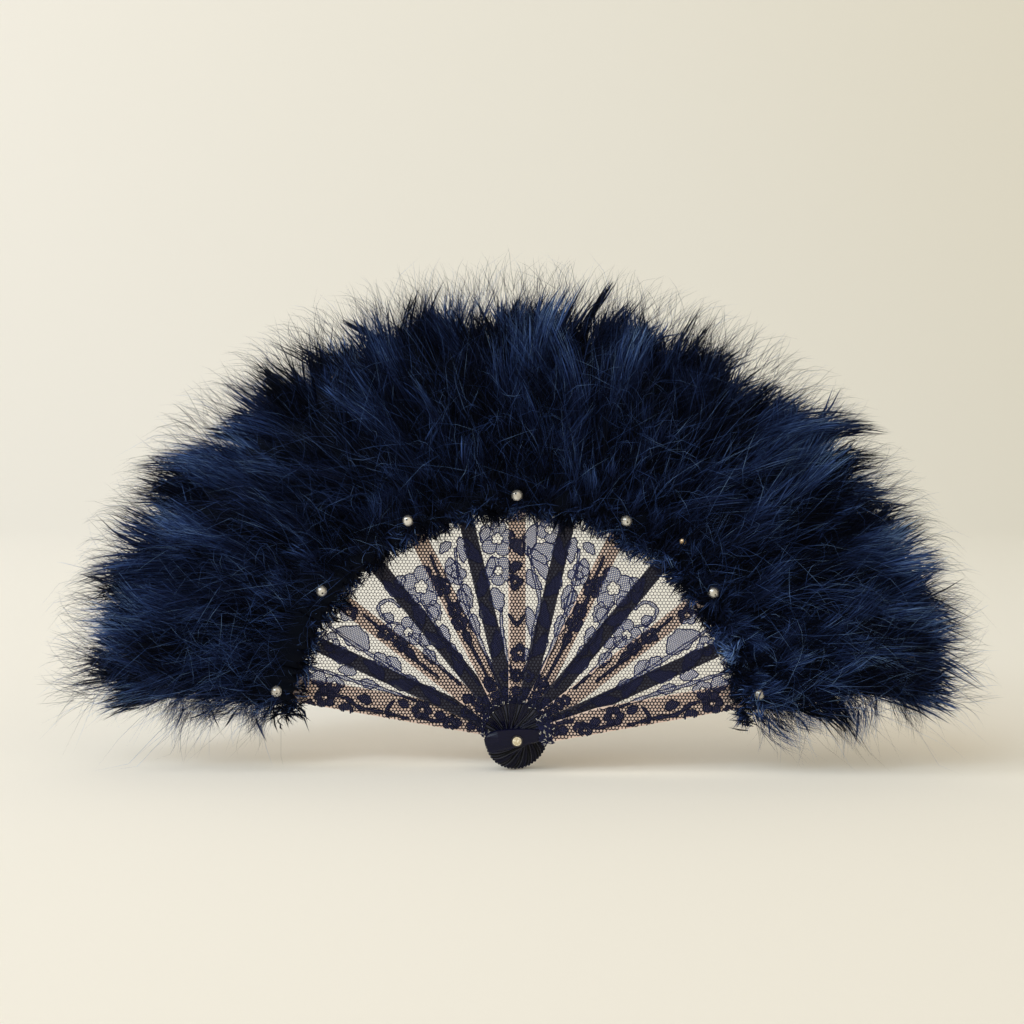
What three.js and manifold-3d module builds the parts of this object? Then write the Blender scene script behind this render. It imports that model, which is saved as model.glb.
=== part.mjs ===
// Feather fan: thirteen sticks turn on one rivet and carry a lace leaf, plumes and beads.
// Sizes are millimetres and angles are degrees. X is right, Y goes into the picture, Z is up.
// The rivet's axis runs along Y through the origin. Sticks count from 1 at the left, the rear
// guard, to 13 at the right, the front guard, and each lies one layer in front of the last.
import * as THREE from "three";
import { mergeVertices } from "three/addons/utils/BufferGeometryUtils.js";
import Module from "manifold-3d";

const wasm = await Module();
wasm.setup();

// The spread of the open fan
const stickCount = 13;
const stickStep = 13.1;
const middleAngle = 90;

// Clearances
const fitGap = 0.3;
const laceGap = 0.2;
const layerGap = 0.35;
const overrun = 5;

// Sticks
const stickReach = 216;
const tanWidth = 9;
const darkWidth = 8;
const stickThick = 1;
const tongueThick = 0.4;
const gorgeLength = 18.5;
const tongueLength = 16;
const tongueInset = 1;
const tipRound = 3;

// Stick heads, from the rivet outwards
const hubRadius = 17;
const headHalfWidth = 5.6;
const neckHalfWidth = 3.4;
const neckReach = 11;
const headBulgeShare = 0.55;
const bellyEndShare = 0.86;
const rimLobes = 4;
const rimNotchShare = 0.965;
const rimTopShare = 1.04;

// Guards, which are thicker and wider and lean outwards
const guardThick = 2.2;
const guardTongueThick = 0.8;
const guardRootWidth = 9.8;
const guardWidth = 13.5;
const guardFullReach = 45;
const guardOuterRoot = 4.2;
const guardOuterTip = 8.6;

// The front guard's crowned head
const crownHeadAbove = 7.4;
const crownHeadBelow = 4.3;
const crownNeckAbove = 3.4;
const crownNeckBelow = 2.8;
const crownTipCentre = 2.2;
const crownEdge = 1;
const crownRise = 2.8;
const crownArcSteps = 8;
const crownStationShares = [
  // how far along, width between neck and head, rise
  [-1, 0.0, 0.12],
  [-0.94, 0.42, 0.45],
  [-0.8, 0.82, 0.75],
  [-0.55, 1.0, 1.0],
  [-0.15, 0.85, 1.0],
  [0.25, 0.5, 0.8],
  [0.6, 0.12, 0.5],
  [0.85, 0.0, 0.3],
  [1, 0.06, 0.22],
];
const crownTipShare = 0.24;

// Rivet
const pinRadius = 1.2;
const washerRadius = 3.1;
const washerThick = 0.6;
const crystalRadius = 2.4;
const crystalRise = 1.3;
const crystalGirdle = 0.5;
const crystalTableShare = 0.55;
const roundSteps = 16;

// Lace leaf
const laceThick = 0.2;
const laceInner = 17.5;
const laceInset = 0.3;
const netRowFirst = 32;
const netRowStep = 11.5;
const netColumnStep = 5.6;
const netGapHalfLength = 3.4;
const netGapHalfWidth = 1.5;

// Plumes
const plumeInner = 119;
const plumeOuter = 237;
const plumeScallop = 5;
const plumeLobe = 7;
const plumeHalfThick = 14;
const plumeCentre = -3.8;
const plumeFollowShare = 0.45;
const plumeBlunt = 2.1;
const plumeSections = 8;
const plumeRingSteps = 14;
const plumeLobeCount = 2;
const plumeEdgeShare = 0.86;
const endOverhang = 25;
const endInner = 134;
const endOuter = 222;
const endThickShare = 0.3;

// Beads
const pearlRadius = 3;
const pearlBehindEdge = 11;
const goldRadius = 2;
const goldBehindEdge = 18;
const goldStick = 10;
const beadSunkShare = 0.35;
const beadRoundSteps = 12;
const beadRows = 8;

const materials = {
  navyGorge: makeMaterial("#10172c", 0.28, 0.05),
  darkStick: makeMaterial("#1c2236", 0.5, 0),
  tanSlip: makeMaterial("#b99a80", 0.6, 0),
  lace: makeMaterial("#26335c", 0.85, 0),
  feather: makeMaterial("#0b1738", 0.9, 0),
  pearl: makeMaterial("#d9d5c8", 0.25, 0.1),
  goldBead: makeMaterial("#b08a50", 0.3, 0.4),
  crystal: makeMaterial("#f1ead6", 0.12, 0),
  rivetMetal: makeMaterial("#22242c", 0.35, 0.8),
};

function makeMaterial(color, roughness, metalness) {
  return new THREE.MeshStandardMaterial({ color, roughness, metalness });
}

function radians(degrees) {
  return THREE.MathUtils.degToRad(degrees);
}

// The solid of a geometry, for cutting and joining
function toSolid(geometry) {
  const bare = new THREE.BufferGeometry();
  bare.setAttribute("position", geometry.getAttribute("position"));
  bare.setIndex(geometry.getIndex());
  const merged = mergeVertices(bare);
  const mesh = new wasm.Mesh({
    numProp: 3,
    vertProperties: new Float32Array(merged.getAttribute("position").array),
    triVerts: new Uint32Array(merged.getIndex().array),
  });
  return new wasm.Manifold(mesh);
}

// The geometry of a solid
function toGeometry(solid) {
  const mesh = solid.getMesh();
  const geometry = new THREE.BufferGeometry();
  const points = new Float32Array(mesh.vertProperties);
  geometry.setAttribute("position", new THREE.BufferAttribute(points, 3));
  geometry.setIndex(new THREE.BufferAttribute(new Uint32Array(mesh.triVerts), 1));
  geometry.computeVertexNormals();
  return geometry;
}

// A plate in the plane of the fan, from its back face forwards
function plate(shape, back, thick, curveSegments) {
  const geometry = new THREE.ExtrudeGeometry(shape, {
    depth: thick,
    bevelEnabled: false,
    curveSegments,
  });
  geometry.rotateX(Math.PI / 2);
  geometry.translate(0, back, 0);
  return geometry;
}

// A round bar along Y, from its back face forwards
function bar(radius, back, length) {
  const geometry = new THREE.CylinderGeometry(radius, radius, length, roundSteps);
  geometry.translate(0, back - length / 2, 0);
  return geometry;
}

// A closed body through rings with the same count of points, in order
function loft(rings) {
  const count = rings[0].length;
  const last = rings.length - 1;
  const points = rings.flat();
  const triangles = [];
  for (let r = 0; r < last; r += 1) {
    for (let k = 0; k < count; k += 1) {
      const next = (k + 1) % count;
      const a = r * count + k;
      const b = r * count + next;
      const c = a + count;
      const d = b + count;
      triangles.push(a, b, d, a, d, c);
    }
  }
  for (let k = 1; k < count - 1; k += 1) {
    triangles.push(0, k + 1, k);
    triangles.push(last * count, last * count + k, last * count + k + 1);
  }
  const geometry = new THREE.BufferGeometry().setFromPoints(points);
  geometry.setIndex(triangles);
  geometry.computeVertexNormals();
  return geometry;
}

// The sticks, with the places that their neighbours need
const layerPitch = stickThick + laceGap + laceThick + layerGap;

function describeStick(number) {
  const index = number - 1;
  const fromMiddle = (stickCount - 1) / 2 - index;
  const first = number === 1;
  const last = number === stickCount;
  const tan = index % 2 === 0;
  const layer = fromMiddle * layerPitch;
  const thick = first || last ? guardThick : stickThick;
  const back = first ? layer - stickThick / 2 + guardThick : layer + stickThick / 2;
  return {
    number,
    label: String(number).padStart(2, "0"),
    angle: middleAngle + fromMiddle * stickStep,
    guard: first || last,
    outward: first ? 1 : -1,
    first,
    last,
    tan,
    width: tan ? tanWidth : darkWidth,
    thick,
    back,
    front: back - thick,
    tongue: first || last ? guardTongueThick : tongueThick,
  };
}

const sticks = Array.from({ length: stickCount }, (_, index) => describeStick(index + 1));

// A guard's outer edge leans away from its axis, and its inner edge follows at the guard's width
function guardOuterAt(reach) {
  const share = (reach - gorgeLength) / (stickReach - gorgeLength);
  return guardOuterRoot + (guardOuterTip - guardOuterRoot) * share;
}

function guardInnerAt(reach) {
  const share = THREE.MathUtils.clamp(
    (reach - gorgeLength) / (guardFullReach - gorgeLength), 0, 1);
  const width = guardRootWidth + (guardWidth - guardRootWidth) * share;
  return width - guardOuterAt(reach);
}

// How far the stick's left edge, or its right edge, is from its axis
function leftEdgeAt(stick, reach) {
  if (!stick.guard) return stick.width / 2;
  return stick.first ? guardOuterAt(reach) : guardInnerAt(reach);
}

function rightEdgeAt(stick, reach) {
  if (!stick.guard) return -stick.width / 2;
  return stick.first ? -guardInnerAt(reach) : -guardOuterAt(reach);
}

// Where an edge bends, between two reaches
function edgeStations(stick, from, to) {
  const bends = stick.guard ? [guardFullReach] : [];
  return [from, ...bends.filter((reach) => reach > from && reach < to), to];
}

function edgeLine(stick, edgeAt, from, to) {
  return edgeStations(stick, from, to).map(
    (reach) => new THREE.Vector2(reach, edgeAt(stick, reach)));
}

// The flat strip from one reach to another, with a rounded tip
function slipShape(stick, from, to, grow) {
  const right = edgeLine(stick, rightEdgeAt, from, to);
  const left = edgeLine(stick, leftEdgeAt, from, to).reverse();
  right.forEach((point) => (point.y -= grow));
  left.forEach((point) => (point.y += grow));
  const tip = tipRound + grow;
  const shape = new THREE.Shape();
  shape.moveTo(right[0].x, right[0].y);
  right.slice(1, -1).forEach((point) => shape.lineTo(point.x, point.y));
  const lowTip = right.at(-1);
  shape.lineTo(lowTip.x - tip, lowTip.y);
  shape.quadraticCurveTo(lowTip.x, lowTip.y, lowTip.x, lowTip.y + tip);
  shape.lineTo(left[0].x, left[0].y - tip);
  shape.quadraticCurveTo(left[0].x, left[0].y, left[0].x - tip, left[0].y);
  left.slice(1).forEach((point) => shape.lineTo(point.x, point.y));
  return shape;
}

// A place on the rim, at a turn from the stick's tail
function rimSpot(share, turn) {
  const reach = hubRadius * share;
  return new THREE.Vector2(-reach * Math.cos(turn), reach * Math.sin(turn));
}

// A stick's head: small lobes at the rim, a round belly, a neck at the rivet's far side, and the
// gorge above it out to the given reach. Two lobes fill one pitch, so neighbours' lobes agree
function headShape(stick, reach) {
  const right = rightEdgeAt(stick, gorgeLength);
  const left = leftEdgeAt(stick, gorgeLength);
  const belly = -hubRadius * headBulgeShare;
  const bellyEnd = -hubRadius * bellyEndShare;
  const lobeTurn = radians(stickStep) / 2;
  const firstTurn = (-rimLobes / 2) * lobeTurn;
  const rimStart = rimSpot(rimNotchShare, firstTurn);
  const neckRight = stick.guard ? right : -neckHalfWidth;
  const neckLeft = stick.guard ? left : neckHalfWidth;
  const shape = new THREE.Shape();
  shape.moveTo(reach, right);
  shape.lineTo(gorgeLength, right);
  shape.bezierCurveTo(neckReach, neckRight, 0, -headHalfWidth, belly, -headHalfWidth);
  shape.quadraticCurveTo(bellyEnd, -headHalfWidth, rimStart.x, rimStart.y);
  for (let k = 0; k < rimLobes; k += 1) {
    const top = rimSpot(rimTopShare, firstTurn + (k + 0.5) * lobeTurn);
    const notch = rimSpot(rimNotchShare, firstTurn + (k + 1) * lobeTurn);
    shape.quadraticCurveTo(top.x, top.y, notch.x, notch.y);
  }
  shape.quadraticCurveTo(bellyEnd, headHalfWidth, belly, headHalfWidth);
  shape.bezierCurveTo(0, headHalfWidth, neckReach, neckLeft, gorgeLength, left);
  shape.lineTo(reach, left);
  return shape;
}

// The bore for the rivet's pin
function rivetBore(stick) {
  return toSolid(bar(pinRadius + fitGap, stick.back + overrun, stick.thick + 2 * overrun + crownRise));
}

// A dark stick is one piece from head to tip
function buildDarkStick(stick) {
  const head = toSolid(plate(headShape(stick, gorgeLength), stick.back, stick.thick, 4));
  const overlap = gorgeLength - tongueInset;
  const slip = toSolid(plate(slipShape(stick, overlap, stickReach, 0), stick.back, stick.thick, 3));
  return toGeometry(head.add(slip).subtract(rivetBore(stick)));
}

// The tongue behind a tan slip
function tongueSolid(stick) {
  const shape = new THREE.Shape();
  const root = gorgeLength - tongueInset;
  const end = gorgeLength + tongueLength;
  shape.moveTo(root, rightEdgeAt(stick, gorgeLength) + tongueInset);
  shape.lineTo(end, rightEdgeAt(stick, end) + tongueInset);
  shape.lineTo(end, leftEdgeAt(stick, end) - tongueInset);
  shape.lineTo(root, leftEdgeAt(stick, gorgeLength) - tongueInset);
  return toSolid(plate(shape, stick.back, stick.tongue, 1));
}

// A tan stick's gorge, with its head and the tongue that its slip is glued on
function buildGorge(stick) {
  const head = toSolid(plate(headShape(stick, gorgeLength), stick.back, stick.thick, 4));
  return toGeometry(head.add(tongueSolid(stick)).subtract(rivetBore(stick)));
}

// One ring of the front guard's crowned head, flat behind and round in front
function crownRing(stick, shares) {
  const [alongShare, widthShare, riseShare] = shares;
  const along = alongShare < 0 ? alongShare * hubRadius : alongShare * gorgeLength;
  const tip = alongShare === -1;
  const above = crownNeckAbove + (crownHeadAbove - crownNeckAbove) * widthShare;
  const below = crownNeckBelow + (crownHeadBelow - crownNeckBelow) * widthShare;
  const half = tip ? crownTipShare * crownHeadAbove : (above + below) / 2;
  const centre = tip ? crownTipCentre : (above - below) / 2;
  const ring = [];
  for (let k = 0; k <= crownArcSteps; k += 1) {
    const turn = (Math.PI * k) / crownArcSteps;
    const rise = crownEdge + crownRise * riseShare * Math.sin(turn);
    ring.push(new THREE.Vector3(along, stick.back - rise, centre + half * Math.cos(turn)));
  }
  ring.push(new THREE.Vector3(along, stick.back, centre - half));
  ring.push(new THREE.Vector3(along, stick.back, centre + half));
  return ring;
}

// The front guard's gorge: a crowned head with a flat seat for the washer, and the tongue
function buildFrontGorge(stick) {
  const head = toSolid(loft(crownStationShares.map((shares) => crownRing(stick, shares))));
  const shoulder = new THREE.Shape();
  const root = neckReach + tongueInset;
  shoulder.moveTo(root, -crownNeckBelow);
  shoulder.lineTo(gorgeLength, rightEdgeAt(stick, gorgeLength));
  shoulder.lineTo(gorgeLength, leftEdgeAt(stick, gorgeLength));
  shoulder.lineTo(root, crownNeckAbove);
  const flare = toSolid(plate(shoulder, stick.back, stick.thick, 1));
  const seat = toSolid(bar(washerRadius + fitGap, seatFront, crownRise + overrun));
  const bored = head.add(flare).add(tongueSolid(stick)).subtract(rivetBore(stick));
  return toGeometry(bored.subtract(seat));
}

// A tan slip lies on its gorge's tongue, face to face, and runs on to the tip
function buildSlip(stick) {
  const shape = slipShape(stick, gorgeLength + fitGap, stickReach, 0);
  return plate(shape, stick.back - stick.tongue, stick.thick - stick.tongue, 3);
}

// Rivet
const frontStick = sticks.at(-1);
const rearStick = sticks[0];
const seatFront = frontStick.back - crownEdge - crownRise + washerThick;
const washerFront = seatFront - fitGap - washerThick;
const pinBack = rearStick.back + fitGap + washerThick;

function buildPin() {
  return bar(pinRadius, pinBack, pinBack - washerFront);
}

function buildWasher(back) {
  const disc = toSolid(bar(washerRadius, back, washerThick));
  const hole = toSolid(bar(pinRadius + fitGap, back + overrun, washerThick + 2 * overrun));
  return toGeometry(disc.subtract(hole));
}

// A low faceted stone in front of the washer
function buildCrystal() {
  const table = crystalRadius * crystalTableShare;
  const profile = [
    new THREE.Vector2(0, -crystalRise),
    new THREE.Vector2(table, -crystalRise),
    new THREE.Vector2(crystalRadius, -crystalGirdle),
    new THREE.Vector2(crystalRadius, 0),
    new THREE.Vector2(0, 0),
  ];
  const geometry = new THREE.LatheGeometry(profile, roundSteps);
  geometry.translate(0, washerFront - fitGap, 0);
  return geometry;
}

// Lace leaf

const laceOuter = plumeInner - fitGap;

// A point given in one stick's frame, in the frame of the stick before it
function toPreviousFrame(point) {
  return point.clone().rotateAround(new THREE.Vector2(), -radians(stickStep));
}

function crossing(a, b, c, d) {
  const first = b.clone().sub(a);
  const second = d.clone().sub(c);
  const share = c.clone().sub(a).cross(second) / first.cross(second);
  return a.clone().addScaledVector(first, share);
}

// An edge of the leaf ends on the circle where the feathers begin
function cutAtOuter(line) {
  const end = line.at(-1);
  end.x = Math.sqrt(laceOuter ** 2 - end.y ** 2);
  return line;
}

// A net gap is a lozenge along the stick
function netGap(u, v) {
  return [
    new THREE.Vector2(u - netGapHalfLength, v),
    new THREE.Vector2(u, v + netGapHalfWidth),
    new THREE.Vector2(u + netGapHalfLength, v),
    new THREE.Vector2(u, v - netGapHalfWidth),
  ];
}

function valueAlong(line, u) {
  const next = Math.max(1, line.findIndex((point) => point.x >= u));
  const a = line[next - 1];
  const b = line[next];
  return a.y + ((b.y - a.y) * (u - a.x)) / (b.x - a.x);
}

function netRows() {
  const rows = [];
  for (let u = netRowFirst; u < laceOuter - 2 * netGapHalfLength; u += netRowStep) rows.push(u);
  return rows;
}

// Gaps between two lines, as many columns as fit
function netGapsBetween(low, high, from) {
  const gaps = [];
  for (const u of netRows().filter((row) => row - netGapHalfLength > from)) {
    const bottom = valueAlong(low, u);
    const width = valueAlong(high, u) - bottom;
    const columns = Math.floor(width / netColumnStep);
    for (let k = 0; k < columns; k += 1) {
      gaps.push(netGap(u, bottom + (width * (k + 0.5)) / columns));
    }
  }
  return gaps;
}

// The part of the leaf that one stick carries: flat on its front, then rising one layer to the
// next stick's left edge, which is the leaf's fold
function laceParts(stick, next) {
  const left = cutAtOuter(edgeLine(stick, leftEdgeAt, laceInner, laceOuter));
  left.forEach((point) => (point.y -= laceInset));
  const fold = cutAtOuter(edgeLine(stick, rightEdgeAt, laceInner, laceOuter));
  if (!next) {
    fold.forEach((point) => (point.y += laceInset));
    const outline = [...fold, ...left.slice().reverse()];
    const middle = fold.map((point) => point.clone());
    return [{ outline, holes: netGapsBetween(middle, left, laceInner), fold, rise: 0 }];
  }
  const beside = edgeLine(next, leftEdgeAt, laceInner, laceOuter);
  beside.forEach((point) => (point.y += laceInset));
  const border = cutAtOuter(beside).map(toPreviousFrame);
  const meet = crossing(fold.at(-2), fold.at(-1), border.at(-2), border.at(-1));
  const under = [...border.slice(0, -1), meet];
  const flatLow = [...under, fold.at(-1)];
  const flat = {
    outline: [...flatLow, ...left.slice().reverse()],
    holes: netGapsBetween(flatLow, left, laceInner),
    fold: [meet, fold.at(-1)],
    rise: 0,
  };
  const slopeLow = [meet, border.at(-1)];
  const slope = {
    outline: [meet, border.at(-1), fold.at(-1)],
    holes: netGapsBetween(slopeLow, [meet, fold.at(-1)], meet.x),
    fold: [meet, fold.at(-1)],
    rise: lacePlane(next) - lacePlane(stick),
    far: border.at(-1),
  };
  return [flat, slope];
}

function lacePlane(stick) {
  return stick.front - laceGap - laceThick;
}

// How far a point is from a line, to its right
function besideLine(point, [from, to]) {
  const along = to.clone().sub(from);
  return along.cross(point.clone().sub(from)) / along.length();
}

// A thin closed body from flat parts that share their fold's two ends
function buildLace(stick, next) {
  const front = [];
  const triangles = [];
  const found = new Map();
  const heightOf = (part, point) => {
    if (!part.rise) return lacePlane(stick);
    const share = besideLine(point, part.fold) / besideLine(part.far, part.fold);
    return lacePlane(stick) + part.rise * share;
  };
  const vertexOf = (part, point) => {
    const key = `${point.x.toFixed(4)} ${point.y.toFixed(4)}`;
    if (!found.has(key)) {
      found.set(key, front.length);
      front.push(new THREE.Vector3(point.x, heightOf(part, point), point.y));
    }
    return found.get(key);
  };
  for (const part of laceParts(stick, next)) {
    const loops = [part.outline, ...part.holes].flat();
    const faces = THREE.ShapeUtils.triangulateShape(part.outline, part.holes);
    faces.forEach((face) => triangles.push(face.map((k) => vertexOf(part, loops[k]))));
  }
  return thicken(front, triangles, laceThick);
}

// A closed body from a sheet's front face, its copy behind, and the walls along every open edge
function thicken(front, triangles, thick) {
  const count = front.length;
  const edges = new Set();
  triangles.forEach(([a, b, c]) => [[a, b], [b, c], [c, a]].forEach((edge) => edges.add(edge.join())));
  const index = [];
  triangles.forEach(([a, b, c]) => index.push(a, b, c, a + count, c + count, b + count));
  for (const edge of edges) {
    const [a, b] = edge.split(",").map(Number);
    if (!edges.has(`${b},${a}`)) index.push(b, a, a + count, b, a + count, b + count);
  }
  const back = front.map((point) => point.clone().setY(point.y + thick));
  const geometry = new THREE.BufferGeometry().setFromPoints([...front, ...back]);
  geometry.setIndex(index);
  geometry.computeVertexNormals();
  return geometry;
}

// Plumes

function blunt(value) {
  return Math.sign(value) * Math.abs(value) ** (2 / plumeBlunt);
}

// A plume is tied to its stick, so its middle follows the stick's depth by a share
function plumeMiddle(stick) {
  return plumeCentre + plumeFollowShare * (stick.back - stick.thick / 2);
}

// A closed ring of a plume at one angle from its stick
function plumeRing(angle, inner, outer, centre, halfThick) {
  const middle = (inner + outer) / 2;
  const half = (outer - inner) / 2;
  const ring = [];
  for (let k = 0; k < plumeRingSteps; k += 1) {
    const turn = (2 * Math.PI * k) / plumeRingSteps;
    const reach = middle + half * blunt(Math.cos(turn));
    const depth = centre + halfThick * blunt(Math.sin(turn));
    ring.push(new THREE.Vector3(reach * Math.cos(angle), depth, reach * Math.sin(angle)));
  }
  return ring;
}

// How far a plume's front stands at a reach
function plumeFrontAt(stick, reach) {
  const inner = plumeInner + plumeScallop / 2;
  const middle = (inner + plumeOuter) / 2;
  const share = Math.abs(reach - middle) / (plumeOuter - middle);
  return plumeMiddle(stick) - plumeHalfThick * (1 - share ** plumeBlunt) ** (1 / plumeBlunt);
}

// The plume of one stick fills its share of the spread, and hangs below the guards at the ends
function plumeBody(stick) {
  const half = radians(stickStep) / 2 - fitGap / 2 / plumeInner;
  const centre = plumeMiddle(stick);
  const rings = [];
  for (let k = 0; k <= plumeSections; k += 1) {
    const share = (2 * k) / plumeSections - 1;
    const wave = Math.cos(Math.PI * share);
    const lobe = Math.cos(Math.PI * plumeLobeCount * share);
    const inner = plumeInner + (plumeScallop * (1 - wave)) / 2;
    const outer = plumeOuter + plumeLobe * lobe;
    const thick = plumeHalfThick * (plumeEdgeShare + (1 - plumeEdgeShare) * Math.cos(share));
    rings.push(plumeRing(share * half, inner, outer, centre, thick));
  }
  if (stick.guard) {
    const far = half + endOverhang / ((endInner + endOuter) / 2);
    const endThick = plumeHalfThick * endThickShare;
    const end = plumeRing(stick.outward * far, endInner, endOuter, centre, endThick);
    if (stick.first) rings.push(end);
    else rings.unshift(end);
  }
  return toSolid(loft(rings));
}

function beadOf(stick) {
  const gold = stick.number === goldStick;
  if (!stick.tan && !gold) return null;
  return {
    name: gold ? `gold_bead_${stick.label}` : `pearl_${stick.label}`,
    material: gold ? materials.goldBead : materials.pearl,
    radius: gold ? goldRadius : pearlRadius,
    reach: plumeInner + (gold ? goldBehindEdge : pearlBehindEdge),
  };
}

function ball(stick, bead, radius) {
  const geometry = new THREE.SphereGeometry(radius, beadRoundSteps, beadRows);
  const depth = plumeFrontAt(stick, bead.reach) - bead.radius * (1 - beadSunkShare);
  geometry.translate(bead.reach, depth, 0);
  return geometry;
}

// A pocket for the stick and a hollow for the bead are cut from each plume
function buildPlume(stick) {
  const pocketShape = slipShape(stick, plumeInner - overrun, stickReach + fitGap, fitGap);
  const pocket = toSolid(plate(pocketShape, stick.back + fitGap, stick.thick + 2 * fitGap, 3));
  const body = plumeBody(stick).subtract(pocket);
  const bead = beadOf(stick);
  const cut = bead ? body.subtract(toSolid(ball(stick, bead, bead.radius + fitGap))) : body;
  return toGeometry(cut);
}

// The fan
const fan = new THREE.Group();

function addTo(group, name, geometry, material) {
  const mesh = new THREE.Mesh(geometry, material);
  mesh.name = name;
  group.add(mesh);
}

function addStick(stick) {
  const group = new THREE.Group();
  group.rotation.y = -radians(stick.angle);
  const { label } = stick;
  if (stick.last) {
    addTo(group, "front_guard_gorge", buildFrontGorge(stick), materials.navyGorge);
    addTo(group, "front_guard_slip", buildSlip(stick), materials.tanSlip);
  } else if (stick.first) {
    addTo(group, "rear_guard_gorge", buildGorge(stick), materials.navyGorge);
    addTo(group, "rear_guard_slip", buildSlip(stick), materials.tanSlip);
  } else if (stick.tan) {
    addTo(group, `gorge_${label}`, buildGorge(stick), materials.navyGorge);
    addTo(group, `slip_${label}`, buildSlip(stick), materials.tanSlip);
  } else {
    addTo(group, `dark_stick_${label}`, buildDarkStick(stick), materials.darkStick);
  }
  addTo(group, `lace_${label}`, buildLace(stick, sticks[stick.number]), materials.lace);
  addTo(group, `plume_${label}`, buildPlume(stick), materials.feather);
  const bead = beadOf(stick);
  if (bead) addTo(group, bead.name, ball(stick, bead, bead.radius), bead.material);
  fan.add(group);
}

function addRivet() {
  addTo(fan, "rivet_pin", buildPin(), materials.rivetMetal);
  addTo(fan, "rivet_front_washer", buildWasher(washerFront + washerThick), materials.rivetMetal);
  addTo(fan, "rivet_rear_washer", buildWasher(pinBack), materials.rivetMetal);
  addTo(fan, "rivet_crystal", buildCrystal(), materials.crystal);
}

sticks.forEach(addStick);
addRivet();

export default fan;
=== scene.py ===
# %% [markdown]
# # A feather fan with a lace leaf
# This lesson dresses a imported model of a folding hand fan: thirteen flat sticks on one rivet, a
# lace leaf on their fronts, bead trims and a deep band of navy marabou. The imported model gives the
# frame, so the fan's measures below are in millimetres in that frame, and are turned into Blender's
# metres last. The room and the lamps round the fan are given in metres.

# %% Load the frame
import math
import bpy
import bmesh
import numpy as np
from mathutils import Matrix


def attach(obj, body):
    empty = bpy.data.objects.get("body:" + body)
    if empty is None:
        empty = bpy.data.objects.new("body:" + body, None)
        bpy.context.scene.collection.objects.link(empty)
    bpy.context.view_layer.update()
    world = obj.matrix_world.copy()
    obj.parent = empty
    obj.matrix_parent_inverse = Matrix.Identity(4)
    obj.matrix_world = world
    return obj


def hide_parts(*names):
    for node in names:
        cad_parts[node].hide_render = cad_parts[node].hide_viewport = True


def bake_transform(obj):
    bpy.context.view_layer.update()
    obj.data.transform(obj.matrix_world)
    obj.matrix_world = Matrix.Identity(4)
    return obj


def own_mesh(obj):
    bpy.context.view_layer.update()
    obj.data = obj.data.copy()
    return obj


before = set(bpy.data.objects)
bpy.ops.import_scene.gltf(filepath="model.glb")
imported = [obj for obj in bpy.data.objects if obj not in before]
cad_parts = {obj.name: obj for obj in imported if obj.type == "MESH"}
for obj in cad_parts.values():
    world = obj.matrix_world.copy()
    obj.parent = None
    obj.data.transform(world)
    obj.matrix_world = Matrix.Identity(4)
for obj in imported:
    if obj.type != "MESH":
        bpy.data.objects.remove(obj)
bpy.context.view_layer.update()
mm = 0.001
print("CAD nodes:", len(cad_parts))

# %% [markdown]
# ## The camera
# A product photo is taken with a long lens, so that near and far parts keep their proportions. The
# camera stands 1.28 m in front and a little above, and looks at the foot of the band of feathers.
# With an 85 mm lens the picture then shows 0.53 mm of the fan's plane in each pixel.

# %% Camera
# pixels across the picture, and millimetres of the fan's plane in one of them
PICTURE, PIXEL = 1024, 0.53
LENS, SENSOR = 85, 36
LOOK_AT = np.array([-2.65, 0, 120.3])
RISE = math.radians(4)
DISTANCE = PICTURE * PIXEL * LENS / SENSOR

bpy.ops.object.select_all(action="DESELECT")
away = np.array([0, -math.cos(RISE), math.sin(RISE)]) * DISTANCE
bpy.ops.object.camera_add(location=(LOOK_AT + away) * mm, rotation=(math.pi / 2 - RISE, 0, 0))
camera = bpy.context.object
camera.data.lens = LENS
camera.data.clip_start = 0.05
bpy.context.scene.camera = camera
print("camera distance, mm:", round(DISTANCE))

# %% [markdown]
# ## Finishes
# A finish is a small tree of nodes. All of them start from one base shader, and patterns are read
# from Object coordinates, which every piece shares here because all objects sit at the origin.
# Colours are written as they are seen, from 0 to 255, and turned into the light values that shaders
# work with.

# %% Start a finish
def light_values(colour):
    """Light values of a colour that is given as seen, from 0 to 255."""
    shares = np.array(colour) / 255
    low = shares / 12.92
    high = ((shares + 0.055) / 1.055) ** 2.4
    return (*np.where(shares <= 0.04045, low, high), 1)


def start_finish(name, **settings):
    """A new material, its base shader with these sockets set, and a maker of linked nodes."""
    material = bpy.data.materials.new(name)
    material.use_nodes = True
    tree = material.node_tree
    shader = tree.nodes["Principled BSDF"]
    for socket, value in settings.items():
        shader.inputs[socket.replace("_", " ")].default_value = value

    def node(kind, links=(), **values):
        made = tree.nodes.new("ShaderNode" + kind)
        for key, value in values.items():
            setattr(made, key, value)
        for socket, source in dict(links).items():
            if hasattr(source, "is_output"):
                tree.links.new(source, made.inputs[socket])
            else:
                made.inputs[socket].default_value = source
        return made

    return material, shader, node


def wear_finish(obj, material):
    obj.data.materials.clear()
    obj.data.materials.append(material)


# %% [markdown]
# ## What the finishes share
# Nearly every finish here is cloudy noise that is used three times over: it picks the colour from a
# row of colours, makes the gloss uneven and raises the surface a little. Each use is one helper. All
# of them take outputs of nodes, and link the result to the base shader.

# %% Noise, tint, rub and bump
def object_place(node):
    return node("TexCoord").outputs["Object"]


def noise(node, place, scale, detail):
    return node("TexNoise", {"Vector": place, "Scale": scale, "Detail": detail}).outputs["Fac"]


def link(output, shader, socket):
    shader.id_data.links.new(output, shader.inputs[socket])


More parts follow.
